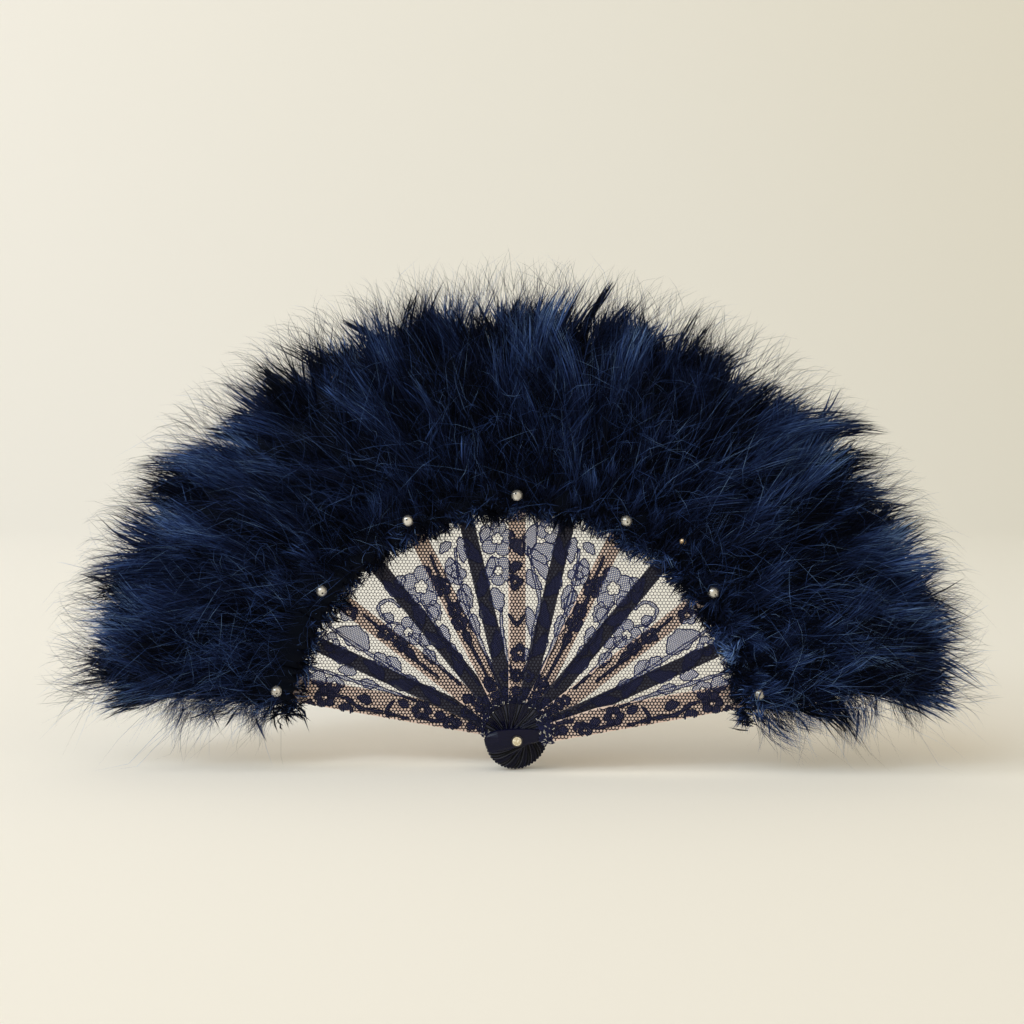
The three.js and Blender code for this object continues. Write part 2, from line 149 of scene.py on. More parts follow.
def ramp(node, source, stops):
    """Colours along a value: stops are (place from 0 to 1, colour as seen)."""
    made = node("ValToRGB", {"Fac": source})
    elements = made.color_ramp.elements
    first, last = elements[0], elements[1]
    first.position, last.position = stops[0][0], stops[-1][0]
    first.color, last.color = light_values(stops[0][1]), light_values(stops[-1][1])
    for place, colour in stops[1:-1]:
        elements.new(place).color = light_values(colour)
    return made


def tint(node, source, stops, shader):
    link(ramp(node, source, stops).outputs["Color"], shader, "Base Color")


def rub(node, source, smooth, dull, shader):
    """Roughness that goes from smooth to dull along a value."""
    uneven = node("MapRange", {"Value": source, "To Min": smooth, "To Max": dull})
    link(uneven.outputs["Result"], shader, "Roughness")


def bump(node, source, shader, strength, depth=0.1):
    """Relief along a value, with its depth in millimetres."""
    made = node("Bump", {"Height": source, "Strength": strength, "Distance": depth * mm})
    link(made.outputs["Normal"], shader, "Normal")


# %% [markdown]
# ## The room
# The fan stands on cream paper that goes on up the wall behind it, as in a product studio. There the
# paper hangs in a wide curve, so that no line shows. Here the back edge of one plane is extruded up
# the wall, and smooth shading turns the corner's light gradually from floor to wall, which hides the
# line as well. The paper's colour is painted darker to the right, to the back and upwards, as
# painted falloff of the light.

# %% Room
# height of the floor in millimetres, and sizes of the room in metres
FLOOR = -17.3
ROOM_WIDE, ROOM_DEEP, ROOM_HIGH, ROOM_MIDDLE = 9, 3.4, 3.5, -0.1
# painted falloff of the light: how fast the paper's colour darkens to the right, back and up
PAINTED_FALLOFF = (0.5, 0.1, 0.16)

bpy.ops.mesh.primitive_plane_add(size=1, location=(0, ROOM_MIDDLE, FLOOR * mm))
room = bpy.context.object
room.name = "room_sweep"
room.scale = (ROOM_WIDE, ROOM_DEEP, 1)
bpy.ops.object.transform_apply(location=True, rotation=True, scale=True)
bpy.ops.object.mode_set(mode="EDIT")
bpy.ops.mesh.select_all(action="DESELECT")
shape = bmesh.from_edit_mesh(room.data)
back_edge = max(shape.edges, key=lambda edge: sum(v.co.y for v in edge.verts))
back_edge.select_set(True)
bmesh.update_edit_mesh(room.data)
bpy.ops.mesh.extrude_region_move(TRANSFORM_OT_translate={"value": (0, 0, ROOM_HIGH)})
bpy.ops.object.mode_set(mode="OBJECT")
bpy.ops.object.shade_smooth()

paper, shader, node = start_finish("cream_backdrop_paper", Roughness=0.9)
place = object_place(node)
painted_falloff = node("VectorMath", {0: place, 1: PAINTED_FALLOFF}, operation="DOT_PRODUCT").outputs["Value"]
mottle = noise(node, place, 1.3, 2)
tone = node("Math", {0: mottle, 1: 0.1, 2: painted_falloff}, operation="MULTIPLY_ADD").outputs[0]
tint(node, tone, [(0.0, (243, 239, 231)), (0.35, (240, 236, 226)), (0.8, (233, 227, 210))], shader)
wear_finish(room, paper)
print("room faces:", len(room.data.polygons))

# %% [markdown]
# ## The light
# Cool daylight falls in softly from the upper left and gives the pale shadow behind the fan to the
# right. A small lamp near it makes the glints on lacquer and beads, another lifts the wall at the
# left, and warm room light fills the rest.

# %% Lamps
def hang_lamp(name, place, size, power, colour, aim=(0, 0, 0.1)):
    """A square soft lamp that faces a point."""
    heading = np.array(aim) - np.array(place)
    flat = math.hypot(heading[0], heading[1])
    tilt = math.atan2(flat, -heading[2])
    turn = math.atan2(heading[1], heading[0]) - math.pi / 2
    bpy.ops.object.light_add(type="AREA", location=place, rotation=(tilt, 0, turn))
    lamp = bpy.context.object
    lamp.name = name
    lamp.data.size = size
    lamp.data.energy = power
    lamp.data.color = colour


bpy.ops.object.light_add(
    type="SUN", location=(-2, -2, 2), rotation=(math.radians(52), 0, math.radians(-32)))
daylight = bpy.context.object
daylight.name = "window_light"
daylight.data.energy = 0.55
daylight.data.angle = math.radians(36)
daylight.data.color = (0.55, 0.76, 1)
hang_lamp("window_glint", place=(-0.9, -1.0, 0.95), size=0.22, power=2.0, colour=(0.8, 0.9, 1))
hang_lamp("wall_lamp", place=(-2.6, -0.4, 1.9), size=1.6, power=34, colour=(0.9, 0.95, 1),
          aim=(-0.9, 1.6, 1.3))
world = bpy.data.worlds.new("room_light")
bpy.context.scene.world = world
world.use_nodes = True
fill = world.node_tree.nodes["Background"].inputs
fill["Color"].default_value = (0.81, 0.735, 0.6, 1)
fill["Strength"].default_value = 0.905
bpy.context.scene.view_settings.view_transform = "Standard"

# %% [markdown]
# ## Sticks
# Seven tan sticks and six dark ones alternate round the rivet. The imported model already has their
# true outlines, so their meshes stay and only get a finish. Wood-like grain runs along each stick,
# and since all sticks point at the rivet, it is drawn in polar measures: the pattern is stretched
# along the reach from the rivet and kept fine across the turn. The gorges, which are the moulded
# lower ends of the tan sticks, are lacquered over.

# %% Grain that points at the rivet
def radial_place(node, along, across, deep=300):
    """Object coordinates as (reach, turn, depth), so that a pattern runs along the sticks."""
    spot = object_place(node)
    parts = node("SeparateXYZ", {"Vector": spot}).outputs
    turn = node("Math", {0: parts["Z"], 1: parts["X"]}, operation="ARCTAN2").outputs[0]
    reach = node("VectorMath", {0: spot}, operation="LENGTH").outputs["Value"]
    polar = node("CombineXYZ", {"X": reach, "Y": turn, "Z": parts["Y"]}).outputs[0]
    return node("VectorMath", {0: polar, 1: (along, across, deep)}, operation="MULTIPLY").outputs[0]


def stained_wood(name, stops, along, across, roughness, specular, relief):
    """Stained wood with its grain along the stick."""
    made, shader, node = start_finish(name, Roughness=roughness, Specular_IOR_Level=specular)
    grain = noise(node, radial_place(node, along, across), 1, 6)
    tint(node, grain, stops, shader)
    bump(node, grain, shader, relief)
    return made


def lacquer(name, low, high, specular):
    """Glossy lacquer with faint flow marks along the stick."""
    made, shader, node = start_finish(name, Specular_IOR_Level=specular)
    flow = noise(node, radial_place(node, 60, 40), 1, 4)
    tint(node, flow, [(0.3, low), (0.7, high)], shader)
    rub(node, flow, 0.12, 0.24, shader)
    bump(node, flow, shader, 0.15)
    return made


# %% Tan, dark and glossy sticks
tan = stained_wood(
    "tan_stained_wood", [(0.25, (214, 182, 164)), (0.5, (238, 212, 198)), (0.8, (250, 232, 220))],
    along=22, across=160, roughness=0.5, specular=0.3, relief=0.25)
dark = stained_wood(
    "dark_navy_stain", [(0.25, (26, 28, 44)), (0.55, (56, 58, 72)), (0.8, (92, 92, 102))],
    along=30, across=200, roughness=0.42, specular=0.15, relief=0.3)
gloss = lacquer("navy_gorge_lacquer", (5, 6, 24), (11, 14, 46), 0.2)
head_dark = lacquer("dark_head_lacquer", (5, 5, 10), (12, 13, 20), 0.15)

stick_finishes = {"slip": tan, "dark_stick": dark, "gorge": gloss}
for name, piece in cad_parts.items():
    for word, finish in stick_finishes.items():
        if word in name:
            wear_finish(piece, finish)
print("finishes of the sticks:", list(stick_finishes))

# %% [markdown]
# ## Rivet
# A small pale stone sits in a dark ring on the front guard's head, and a plain washer closes the
# back. The stone keeps its packed facets: it is clear glass over a pale foil, so a pale, very
# smooth finish with a strong coat reads right at this size.

# %% Rivet finishes
stone, shader, node = start_finish(
    "pale_foiled_stone", Roughness=0.12, Coat_Weight=1.0, Coat_Roughness=0.03, IOR=1.6)
facets = node("TexVoronoi", {"Vector": object_place(node), "Scale": 900}).outputs["Distance"]
tint(node, facets, [(0.1, (255, 248, 226)), (0.6, (206, 190, 152))], shader)

steel, shader, node = start_finish("dark_rivet_metal", Metallic=1.0)
scuff = noise(node, object_place(node), 700, 4)
tint(node, scuff, [(0.3, (40, 40, 48)), (0.7, (84, 82, 86))], shader)
rub(node, scuff, 0.3, 0.5, shader)

wear_finish(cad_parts["rivet_crystal"], stone)
for name in ("rivet_pin", "rivet_front_washer", "rivet_rear_washer"):
    wear_finish(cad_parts[name], steel)
print("rivet finishes:", stone.name, steel.name)

# %% [markdown]
# ## Where the sticks are
# The leaf and the feathers are fixed to the sticks, so they are worked out in each stick's own
# measures: the reach from the rivet, the distance to the stick's left, and the depth of its layer.
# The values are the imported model's own. Stick 1 is the rear guard at the left, stick 7 stands
# upright in the middle and stick 13 is the front guard at the right, and each stick lies one layer
# in front of the one before.

# %% Places of the sticks
STICKS, MIDDLE = 13, 7
STEP = math.radians(13.1)
LAYER = 1.75
STICK_THICK, GUARD_THICK = 1.0, 2.2
TAN_HALF, DARK_HALF = 4.5, 4.0
# reaches where the gorge ends, where a guard is fully wide, and of the stick's tip
GORGE, GUARD_FULL, STICK_REACH = 18.5, 45, 216
# a guard's outer edge and its width where the gorge ends, and what each gains from there
GUARD_OUTER, OUTER_GAIN, GUARD_WIDE, WIDE_GAIN = 4.2, 4.4, 9.8, 3.7
bodies = ["rear_guard"] + [f"stick_{n:02d}" for n in range(2, STICKS)] + ["front_guard"]


def heading(n):
    return math.pi / 2 + (MIDDLE - n) * STEP


def front_of(n):
    """Depth of a stick's front face. The front guard is thicker, and grows to the front."""
    middle = (MIDDLE - n) * LAYER
    return middle + (STICK_THICK / 2 - GUARD_THICK if n == STICKS else -STICK_THICK / 2)


def thickness_of(n):
    return GUARD_THICK if n in (1, STICKS) else STICK_THICK


def edges_of(n, reach):
    """Distances of a stick's right and left edges from its axis."""
    if n not in (1, STICKS):
        half = TAN_HALF if n % 2 else DARK_HALF
        return -half, half
    outer = GUARD_OUTER + OUTER_GAIN * (reach - GORGE) / (STICK_REACH - GORGE)
    widening = np.clip((reach - GORGE) / (GUARD_FULL - GORGE), 0, 1)
    inner = GUARD_WIDE + WIDE_GAIN * widening - outer
    return (-inner, outer) if n == 1 else (-outer, inner)


def to_stick(n, x, z):
    turn = heading(n)
    return x * math.cos(turn) + z * math.sin(turn), z * math.cos(turn) - x * math.sin(turn)


def from_stick(n, reach, left):
    turn = heading(n)
    return (reach * math.cos(turn) - left * math.sin(turn),
            reach * math.sin(turn) + left * math.cos(turn))


print("sticks:", STICKS, "spread:", round(math.degrees((STICKS - 1) * STEP)), "degrees")


# %% [markdown]
# ## Meshes from arrays
# Lace has tens of thousands of threads and marabou has even more barbs. They can't be modelled one
# by one with operators, so their corners and faces are worked out as arrays and given to Blender in
# one go.

# %% A mesh from arrays
def mesh_from(name, points, *face_sets):
    """A new object from points in millimetres and arrays of faces with one size each."""
    corners = np.concatenate([faces.ravel() for faces in face_sets])
    sizes = np.concatenate([np.full(len(faces), faces.shape[1]) for faces in face_sets])
    mesh = bpy.data.meshes.new(name)
    mesh.vertices.add(len(points))
    mesh.vertices.foreach_set("co", (points * mm).astype(np.float32).ravel())
    mesh.loops.add(len(corners))
    mesh.loops.foreach_set("vertex_index", corners.astype(np.int32))
    mesh.polygons.add(len(sizes))
    mesh.polygons.foreach_set("loop_start", np.cumsum(sizes) - sizes)
    mesh.update(calc_edges=True)
    made = bpy.data.objects.new(name, mesh)
    bpy.context.scene.collection.objects.link(made)
    return made


def tag_points(made, name, values):
    """Keeps a value or a vector for each point, so that a finish can read it."""
    vector = values.ndim == 2
    tag = made.data.attributes.new(name, "FLOAT_VECTOR" if vector else "FLOAT", "POINT")
    tag.data.foreach_set("vector" if vector else "value", values.astype(np.float32).ravel())


# %% [markdown]
# ## The leaf's height
# The lace is glued flat on each stick's front. Past the stick's right edge it crosses the open gap
# and rises by one layer to the next stick's left edge. So its depth is a function of the place in
# the fan's plane, and every thread can be drawn flat first and laid on that surface afterwards.

# %% Panels and depths of the leaf
LEAF_INNER, LEAF_OUTER = 17.5, 118.7
LEAF_THICK = 0.4


def leaf_front(n):
    return front_of(n) - LEAF_THICK


def panel_of(x, z):
    """For points in the plane: their panel (0 outside the leaf), the leaf's depth, and if glued."""
    panel = np.zeros(len(x), int)
    depth = np.zeros(len(x))
    reach = np.hypot(x, z)
    inside = (reach > LEAF_INNER) & (reach < LEAF_OUTER)
    for n in range(STICKS, 0, -1):
        along, left = to_stick(n, x, z)
        low, high = edges_of(n, along)
        on = inside & (panel == 0) & (along > 0) & (left >= low) & (left <= high)
        panel[on] = n
        depth[on] = leaf_front(n)
    glued = panel > 0
    turn = np.arctan2(z, x)
    gap = np.floor((heading(1) - turn) / STEP).astype(int) + 1
    for n in range(1, STICKS):
        on = inside & (panel == 0) & (gap == n)
        along, left = to_stick(n, x[on], z[on])
        beyond = edges_of(n, along)[0] - left
        far = to_stick(n, *from_stick(n + 1, LEAF_OUTER, edges_of(n + 1, LEAF_OUTER)[1]))
        width = edges_of(n, far[0])[0] - far[1]
        rise = leaf_front(n + 1) - leaf_front(n)
        panel[on] = n
        depth[on] = leaf_front(n) + rise * np.clip(beyond / width, 0, 1)
    return panel, depth, glued


print("leaf from", LEAF_INNER, "to", LEAF_OUTER, "mm")


# %% [markdown]
# ## The lace pattern
# Machine lace of this kind has three parts: a fine six-sided net, motifs of leaves and blossoms that
# are filled with closer stitches, and a heavier cord round each motif. All three are threads, so the
# leaf could be a sheet with a see-through pattern, but real threads cast the right shadows on the
# sticks and show the cream paper between them. The pattern is an ordinary garden spray, the same on
# both sides of the middle stick as lace of this kind is cut. Each leaf is given by its two ends,
# width and bend; each blossom by its centre, radius and number of petals.

# %% The motifs, in millimetres from the rivet
side_leaves = [
    (30.5, 107, 28.5, 93, 4.5, -1), (36, 96, 31, 84, 4.5, 1.5), (28, 82, 24, 69, 5, 1.2),
    (31, 79, 27, 64, 4.5, -1), (23.5, 66, 20, 54, 4, 1), (35, 104, 41, 98, 3.5, 0.6),
    (28, 57, 25, 49, 3, 0), (45, 73, 41, 62, 5, 1), (47.5, 71, 45, 60, 4.5, -1.5),
    (40, 60, 36, 49, 4.5, 1), (53, 70, 59, 76, 3.5, 0.5), (37, 50, 32, 44, 3.5, 0.5),
    (52, 54, 46, 49, 4, 1), (66, 61, 72, 65, 3.5, 0.8), (50, 46, 44, 38, 4, -1),
    (60, 47, 54, 41, 3, 0), (79, 46, 97, 57, 8, 2), (76, 44, 67, 37, 5, 1),
    (90, 44, 98, 48, 4, -1), (70, 42, 62, 34, 4, -0.8), (60, 32, 52, 27, 3.5, 0.5),
    (86, 33, 96, 35, 4.5, 1), (102, 28, 112, 31, 6, 1), (84, 29, 74, 26, 3.5, 0.5),
    (44, 11, 38, 9, 3, 0), (78, 17, 86, 20, 3.5, 0.6), (88, 12, 96, 15, 4, 0.6),
    (58, 15, 64, 18, 3, 0), (60, 86, 64, 78, 4, 1),
]
side_blossoms = [
    (33, 87, 4.8, 5, 0.5), (40, 80, 4, 5, 0.1), (33.5, 68, 3, 4, 0.4), (30.5, 61, 3.5, 5, 0.2),
    (51, 80, 8.8, 5, 0.4), (58, 55.5, 6.3, 5, 0.2), (70, 55.5, 3.6, 5, 0.8), (62, 49, 3, 4, 0.1),
    (100, 50, 4.2, 4, 0.3), (98, 27, 4, 5, 0.6), (51, 13, 4.2, 6, 0.1), (36, 5.5, 3, 5, 0.9),
    (103, 20, 4.6, 5, 0.2), (112, 15, 3, 5, 0.5), (22, 19, 2.6, 5, 0.3), (14, 27, 2.6, 5, 0.1),
    (27, 12, 2.6, 5, 0.4), (6, 33, 2.6, 4, 0.2), (90, 66, 4, 5, 0.3),
]
side_stems = [
    [(33, 101), (31, 86), (26, 68), (20, 52), (14, 38), (9, 26)],
    [(46, 97), (42, 87), (38, 76), (30, 60), (22, 44), (15, 30)],
    [(51, 73), (46, 64), (39, 52), (30, 40), (20, 27)],
    [(62, 69), (68, 73), (74, 69), (70, 62), (63, 60)],
    [(58, 55), (50, 48), (42, 38), (30, 27)],
    [(82, 65), (74, 58), (66, 51), (56, 42), (42, 31)],
    [(101, 59), (90, 51), (78, 43), (64, 34), (50, 26), (32, 16)],
    [(113, 37), (100, 33), (88, 29), (74, 25), (54, 18)],
    [(66, 18), (70, 13), (69, 8)],
    [(58, 8), (72, 12), (84, 14), (93, 20), (108, 22)],
    [(34, 10), (42, 7), (52, 9)],
]
middle_leaves = [
    (5.5, 97, 11, 115, 5, 1.5), (7, 98, 20, 103, 8, -2), (5.5, 101, 15.5, 84, 5.5, 2),
    (6, 90, 13.5, 79, 4.5, -1.5), (5.5, 70, 8.5, 52, 4, 1), (-3, 106, 3, 97, 5, 1),
    (-4, 88, 3, 93, 3.5, 1), (-12.5, 80, -8.5, 67, 5.5, 0), (-13, 97, -17, 84, 3.5, 1),
    (-16, 114, -19, 104, 4, 0.5),
]
middle_blossoms = [
    (17, 111, 5.5, 4, 0.3), (-1, 83, 3.2, 4, 0), (1.5, 45, 4, 5, 0.3), (0, 33, 2.8, 4, 0),
    (-10.5, 106, 7.5, 5, 0.2), (-10, 89, 6.3, 5, 0.9),
]
middle_stems = [
    [(6, 102), (9, 87), (12, 73), (9, 58), (7, 44), (3, 34)],
    [(-4.5, 66), (0, 60.5), (4.5, 66)],
    [(-8.5, 69), (-8, 58), (-5.5, 44), (-2, 34)],
]
print("stems:", 2 * len(side_stems) + len(middle_stems))


# %% [markdown]
# ## Outlines
# A leaf is a pointed oval along a bent middle line, a blossom is a circle whose radius swells at
# each petal, and a stem is a band along a soft curve. Formulas give all three, so a motif needs only
# the few numbers above. The small waves in the formulas keep the outlines from looking machined.

# %% Outlines of the motifs
# how much a leaf and a blossom are swollen over their given sizes, and the width of a stem
LEAF_SWELL, BLOSSOM_SWELL, STEM_WIDE = 1.4, 1.28, 1.7
# sizes of a blossom's eye and of the notches between its petals, and a petal's length, as shares
EYE, NOTCH, PETAL = 0.34, 0.66, 0.34
LEAF_POINTS, PETAL_POINTS = 15, 12


def leaf_outline(x1, z1, x2, z2, width, bend):
    share = np.linspace(0, 1, LEAF_POINTS)[:, None]
    root, tip = np.array([x1, z1]), np.array([x2, z2])
    across = np.array([z1 - z2, x2 - x1]) / np.linalg.norm(tip - root)
    middle = root + (tip - root) * share + across * bend * 4 * share * (1 - share)
    half = width * LEAF_SWELL / 2 * np.sin(math.pi * share) ** 0.75 * (1.2 - 0.4 * share)
    half = half * (1 + 0.12 * np.sin(share * 19 + x1))
    return np.vstack([middle + across * half, (middle - across * half)[-2:0:-1]])


def blossom_outline(x, z, radius, petals, turn, scale=1.0):
    around = np.linspace(0, 2 * math.pi, PETAL_POINTS * petals, endpoint=False)
    swell = NOTCH + PETAL * np.abs(np.cos(petals * (around - turn) / 2)) ** 0.55
    ripple = 1 + 0.04 * np.cos(around * 3 + x)
    far = radius * BLOSSOM_SWELL * scale * swell * ripple
    return np.stack([x + far * np.cos(around), z + far * np.sin(around)], 1)


def smooth_path(points, spacing=1.1):
    """Points along a soft curve through the given ones."""
    points = np.array(points, float)
    padded = np.vstack([2 * points[0] - points[1], points, 2 * points[-1] - points[-2]])
    path = []
    for p0, p1, p2, p3 in zip(padded, padded[1:], padded[2:], padded[3:]):
        count = max(2, int(np.linalg.norm(p2 - p1) / spacing))
        t = np.linspace(0, 1, count, endpoint=False)[:, None]
        path.append(0.5 * (2 * p1 + (p2 - p0) * t + (2 * p0 - 5 * p1 + 4 * p2 - p3) * t ** 2
                           + (3 * p1 - p0 - 3 * p2 + p3) * t ** 3))
    return np.vstack([*path, points[-1:]])


def ribbon_outline(path, wide):
    """A stem as a closed band that is widest at its middle."""
    ahead = np.gradient(path, axis=0)
    across = np.stack([-ahead[:, 1], ahead[:, 0]], 1) / np.linalg.norm(ahead, axis=1)[:, None]
    share = np.linspace(0, 1, len(path))[:, None]
    half = wide / 2 * (0.55 + 0.45 * np.sin(math.pi * share)) * (1 + 0.25 * np.sin(share * 40))
    return np.vstack([path + across * half, (path - across * half)[::-1]])


# %% Motifs and the cords round them
# small leaves along the dark sticks: the reaches of their feet, then length, width and bend
STICK_LEAVES = (44, 60, 77, 95)
STICK_LEAF_LONG, STICK_LEAF_WIDE, STICK_LEAF_BEND = 15, 4.6, 1.6
# rows of small blossoms at the leaf's inner end: reach, sticks from one to the next, radius, petals
SMALL_BLOSSOMS = ((20.5, 0.5, 1.7, 4), (25, 1, 2.1, 5), (33, 2, 2.2, 4))
RAYED_RADIUS = 4
motifs = []
cords = []


def add_motif(outlines, seed):
    """Keeps a motif with a number that slants its filling, and a cord round each outline."""
    motifs.append((outlines, seed))
    cords.extend(np.vstack([outline, outline[:1]]) for outline in outlines)


def mirrored(outline):
    return outline * np.array([-1, 1])


def add_blossom(side, blossom):
    """A blossom with its eye, and in a large one a cord ray from the eye to each notch."""
    add_motif([side(blossom_outline(*blossom)), side(blossom_outline(*blossom, scale=EYE))], blossom[1])
    x, z, radius, petals, turn = blossom
    if radius > RAYED_RADIUS:
        for k in range(petals):
            notch = turn + (2 * k + 1) * math.pi / petals
            ray = np.array([math.cos(notch), math.sin(notch)])
            reach = np.array([[EYE], [NOTCH]]) * radius * BLOSSOM_SWELL
            cords.append(side(np.array([x, z]) + ray * reach))


for blossoms, leaves, stems, sides in (
        (side_blossoms, side_leaves, side_stems, (np.asarray, mirrored)),
        (middle_blossoms, middle_leaves, middle_stems, (np.asarray,))):
    for side in sides:
        for leaf in leaves:
            add_motif([side(leaf_outline(*leaf))], leaf[0])
        for blossom in blossoms:
            add_blossom(side, blossom)
        for stem in stems:
            add_motif([ribbon_outline(side(smooth_path(stem)), STEM_WIDE)], stem[0][0])
for n in range(2, STICKS, 2):
    for k, reach in enumerate(STICK_LEAVES):
        side = 1 if k % 2 else -1
        foot = from_stick(n, reach, -3 * side)
        tip = from_stick(n, reach + STICK_LEAF_LONG, 2.4 * side)
        add_motif([leaf_outline(*foot, *tip, STICK_LEAF_WIDE, side * STICK_LEAF_BEND)], reach)
for reach, step, radius, petals in SMALL_BLOSSOMS:
    for turn in np.arange(heading(STICKS), heading(1) + 0.01, STEP * step):
        spot = reach * math.cos(turn + 0.02), reach * math.sin(turn + 0.02)
        add_motif([blossom_outline(*spot, radius, petals, turn)], reach)
print("motifs:", len(motifs), "cords:", len(cords))


# %% [markdown]
# ## Threads
# Each thread is laid as short straight pieces, so that it can follow the leaf's height. The filling
# of a motif is two sets of close rows, cut off at its outline: each row is intersected with the
# outline, and what lies between an odd and an even crossing is kept.

# %% Rows that fill a motif
FILL_PITCH, FILL_SLANTS, FILL_TURN = 0.95, (0.4, 1.65), 0.37
LONGEST_PIECE = 2.4


def rows_inside(outlines, slant, pitch):
    """Straight rows at a slant, kept where they are inside the outlines."""
    turn = np.array([[math.cos(slant), math.sin(slant)], [-math.sin(slant), math.cos(slant)]])
    a = np.vstack([outline @ turn.T for outline in outlines])
    b = np.vstack([np.roll(outline @ turn.T, -1, 0) for outline in outlines])
    pieces = []
    for height in np.arange(a[:, 1].min() + pitch / 2, a[:, 1].max(), pitch):
        crosses = (a[:, 1] > height) != (b[:, 1] > height)
        p, q = a[crosses], b[crosses]
        at = np.sort(p[:, 0] + (q[:, 0] - p[:, 0]) * (height - p[:, 1]) / (q[:, 1] - p[:, 1]))
        for low, high in zip(at[::2], at[1::2]):
            count = max(1, math.ceil((high - low) / LONGEST_PIECE))
            stations = np.linspace(low, high, count + 1)
            pieces += [(start, height, stop, height) for start, stop in zip(stations, stations[1:])]
    pieces = np.array(pieces).reshape(-1, 2, 2) @ turn
    return pieces.reshape(-1, 4)


def inside_motif(x, z, among):
    """Which points lie inside any of some motifs."""
    found = np.zeros(len(x), bool)
    for outlines, _ in among:
        low, high = outlines[0].min(0), outlines[0].max(0)
        near = np.flatnonzero((x > low[0]) & (x < high[0]) & (z > low[1]) & (z < high[1]))
        if not len(near):
            continue
        odd = np.zeros(len(near), bool)
        for outline in outlines:
            p, q = outline, np.roll(outline, -1, 0)
            spans = (p[:, 1] > z[near, None]) != (q[:, 1] > z[near, None])
            cut = p[:, 0] + (q[:, 0] - p[:, 0]) * (z[near, None] - p[:, 1]) / (
                q[:, 1] - p[:, 1] + 1e-12)
            odd ^= (spans & (x[near, None] < cut)).sum(1) % 2 == 1
        found[near] |= odd
    return found


def fill_motifs(slant):
    """Rows in every motif, left out where an earlier motif already covers the place."""
    kept = []
    for k, (outlines, seed) in enumerate(motifs):
        rows = rows_inside(outlines, slant + seed * FILL_TURN, FILL_PITCH)
        middle = (rows[:, :2] + rows[:, 2:]) / 2
        kept.append(rows[~inside_motif(middle[:, 0], middle[:, 1], motifs[:k])])
    return np.vstack(kept)


rows, ties = [fill_motifs(slant) for slant in FILL_SLANTS]
print("threads in the motifs:", len(rows), "rows", len(ties), "ties")

# %% [markdown]
# ## The net
# The ground between the motifs is a net with six-sided holes. Its knots are the corners of a
# honeycomb, and each of them has three threads. A thread stays only where both its ends are on the
# leaf and its middle is outside every motif.

# %% Net threads
NET_PITCH = 1.85
NET_REACH = 130


def net_threads():
    count = int(NET_REACH / NET_PITCH)
    i, j = np.meshgrid(np.arange(-2 * count, 2 * count), np.arange(-4, int(count * 1.16)))
    x = NET_PITCH * (i + 0.5 * (j % 2)).ravel()
    z = NET_PITCH * math.sqrt(3) / 2 * j.ravel()
    rise = NET_PITCH / math.sqrt(3)
    top = z + rise
    joins = [np.stack([x, z, x, top], 1)]
    for dx in (NET_PITCH / 2, -NET_PITCH / 2):
        joins.append(np.stack([x, top, x + dx, z + 1.5 * rise], 1))
    pieces = np.vstack(joins)
    for end in (slice(0, 2), slice(2, 4)):
        pieces = pieces[panel_of(*pieces[:, end].T)[0] > 0]
    middle = (pieces[:, :2] + pieces[:, 2:]) / 2
    return pieces[~inside_motif(middle[:, 0], middle[:, 1], motifs)]


net = net_threads()
print("threads in the net:", len(net))

# %% [markdown]
# ## Cords and frills
# A heavier cord follows each outline. The leaf's two cut edges are frilled: rows of scallops run
# along them, crossed by short loose ends. At the two guards the gathered inner end also covers the
# gorge like a small collar. A few of the loose ends are painted pale, as painted glints on the navy
# thread.

# %% Cord, frill and collar threads
# place of each row of scallops in the frill, its wave and the wave's start
SCALLOPS = ((0.4, 0.5, 0), (1.0, 0.7, 1.3), (1.7, 0.9, 2.4), (2.5, 0.8, 0.6))
FRILL_DEEP, FRILL_PAST = 2.5, 0.03
COLLAR_THREADS, COLLAR_PAST, COLLAR_FRONT_PAST = 300, 1.2, 3.2
# share of frill threads and step between collar threads that are painted pale, as painted glints
GLINT_SHARE, GLINT_EVERY = 0.05, 14


def along_path(path):
    return np.hstack([path[:-1], path[1:]])


def in_plane(reach, turn):
    return np.stack([reach * np.cos(turn), reach * np.sin(turn)], 1)


def edge_frill(reach, depth, rng):
    """Scallops and crossed loops along a cut edge at one reach."""
    pieces = []
    ends = heading(STICKS) - FRILL_PAST, heading(1) + FRILL_PAST
    turns = np.linspace(*ends, int(reach * 6))
    for offset, wave, phase in SCALLOPS:
        bow = np.abs(np.sin(turns * reach * 0.55 + phase))
        far = reach + depth * (offset / FRILL_DEEP + 0.18 * wave * bow)
        pieces.append(along_path(in_plane(far, turns)))
    spots = rng.uniform(*ends, int(reach * 9))
    far = reach + depth * rng.uniform(0, 1, len(spots))
    slant = rng.uniform(0, math.pi, len(spots))
    start = in_plane(far, spots)
    pieces.append(np.hstack([start, start + in_plane(1, slant) * rng.uniform(0.6, 1.6, (len(spots), 1))]))
    return np.vstack(pieces)


def collar(n, rng):
    """Short crossed threads of the gathered lace end, over a guard's gorge."""
    reach = rng.uniform(12.4, 18.6, COLLAR_THREADS)
    low, high = edges_of(n, GORGE)
    past = COLLAR_FRONT_PAST if n == STICKS else COLLAR_PAST
    left = rng.uniform(low - COLLAR_PAST, high + past, COLLAR_THREADS)
    start = np.stack(from_stick(n, reach, left), 1)
    slant = rng.uniform(0, math.pi, COLLAR_THREADS)
    return np.hstack([start, start + in_plane(1, slant) * rng.uniform(0.8, 2.0, (COLLAR_THREADS, 1))])


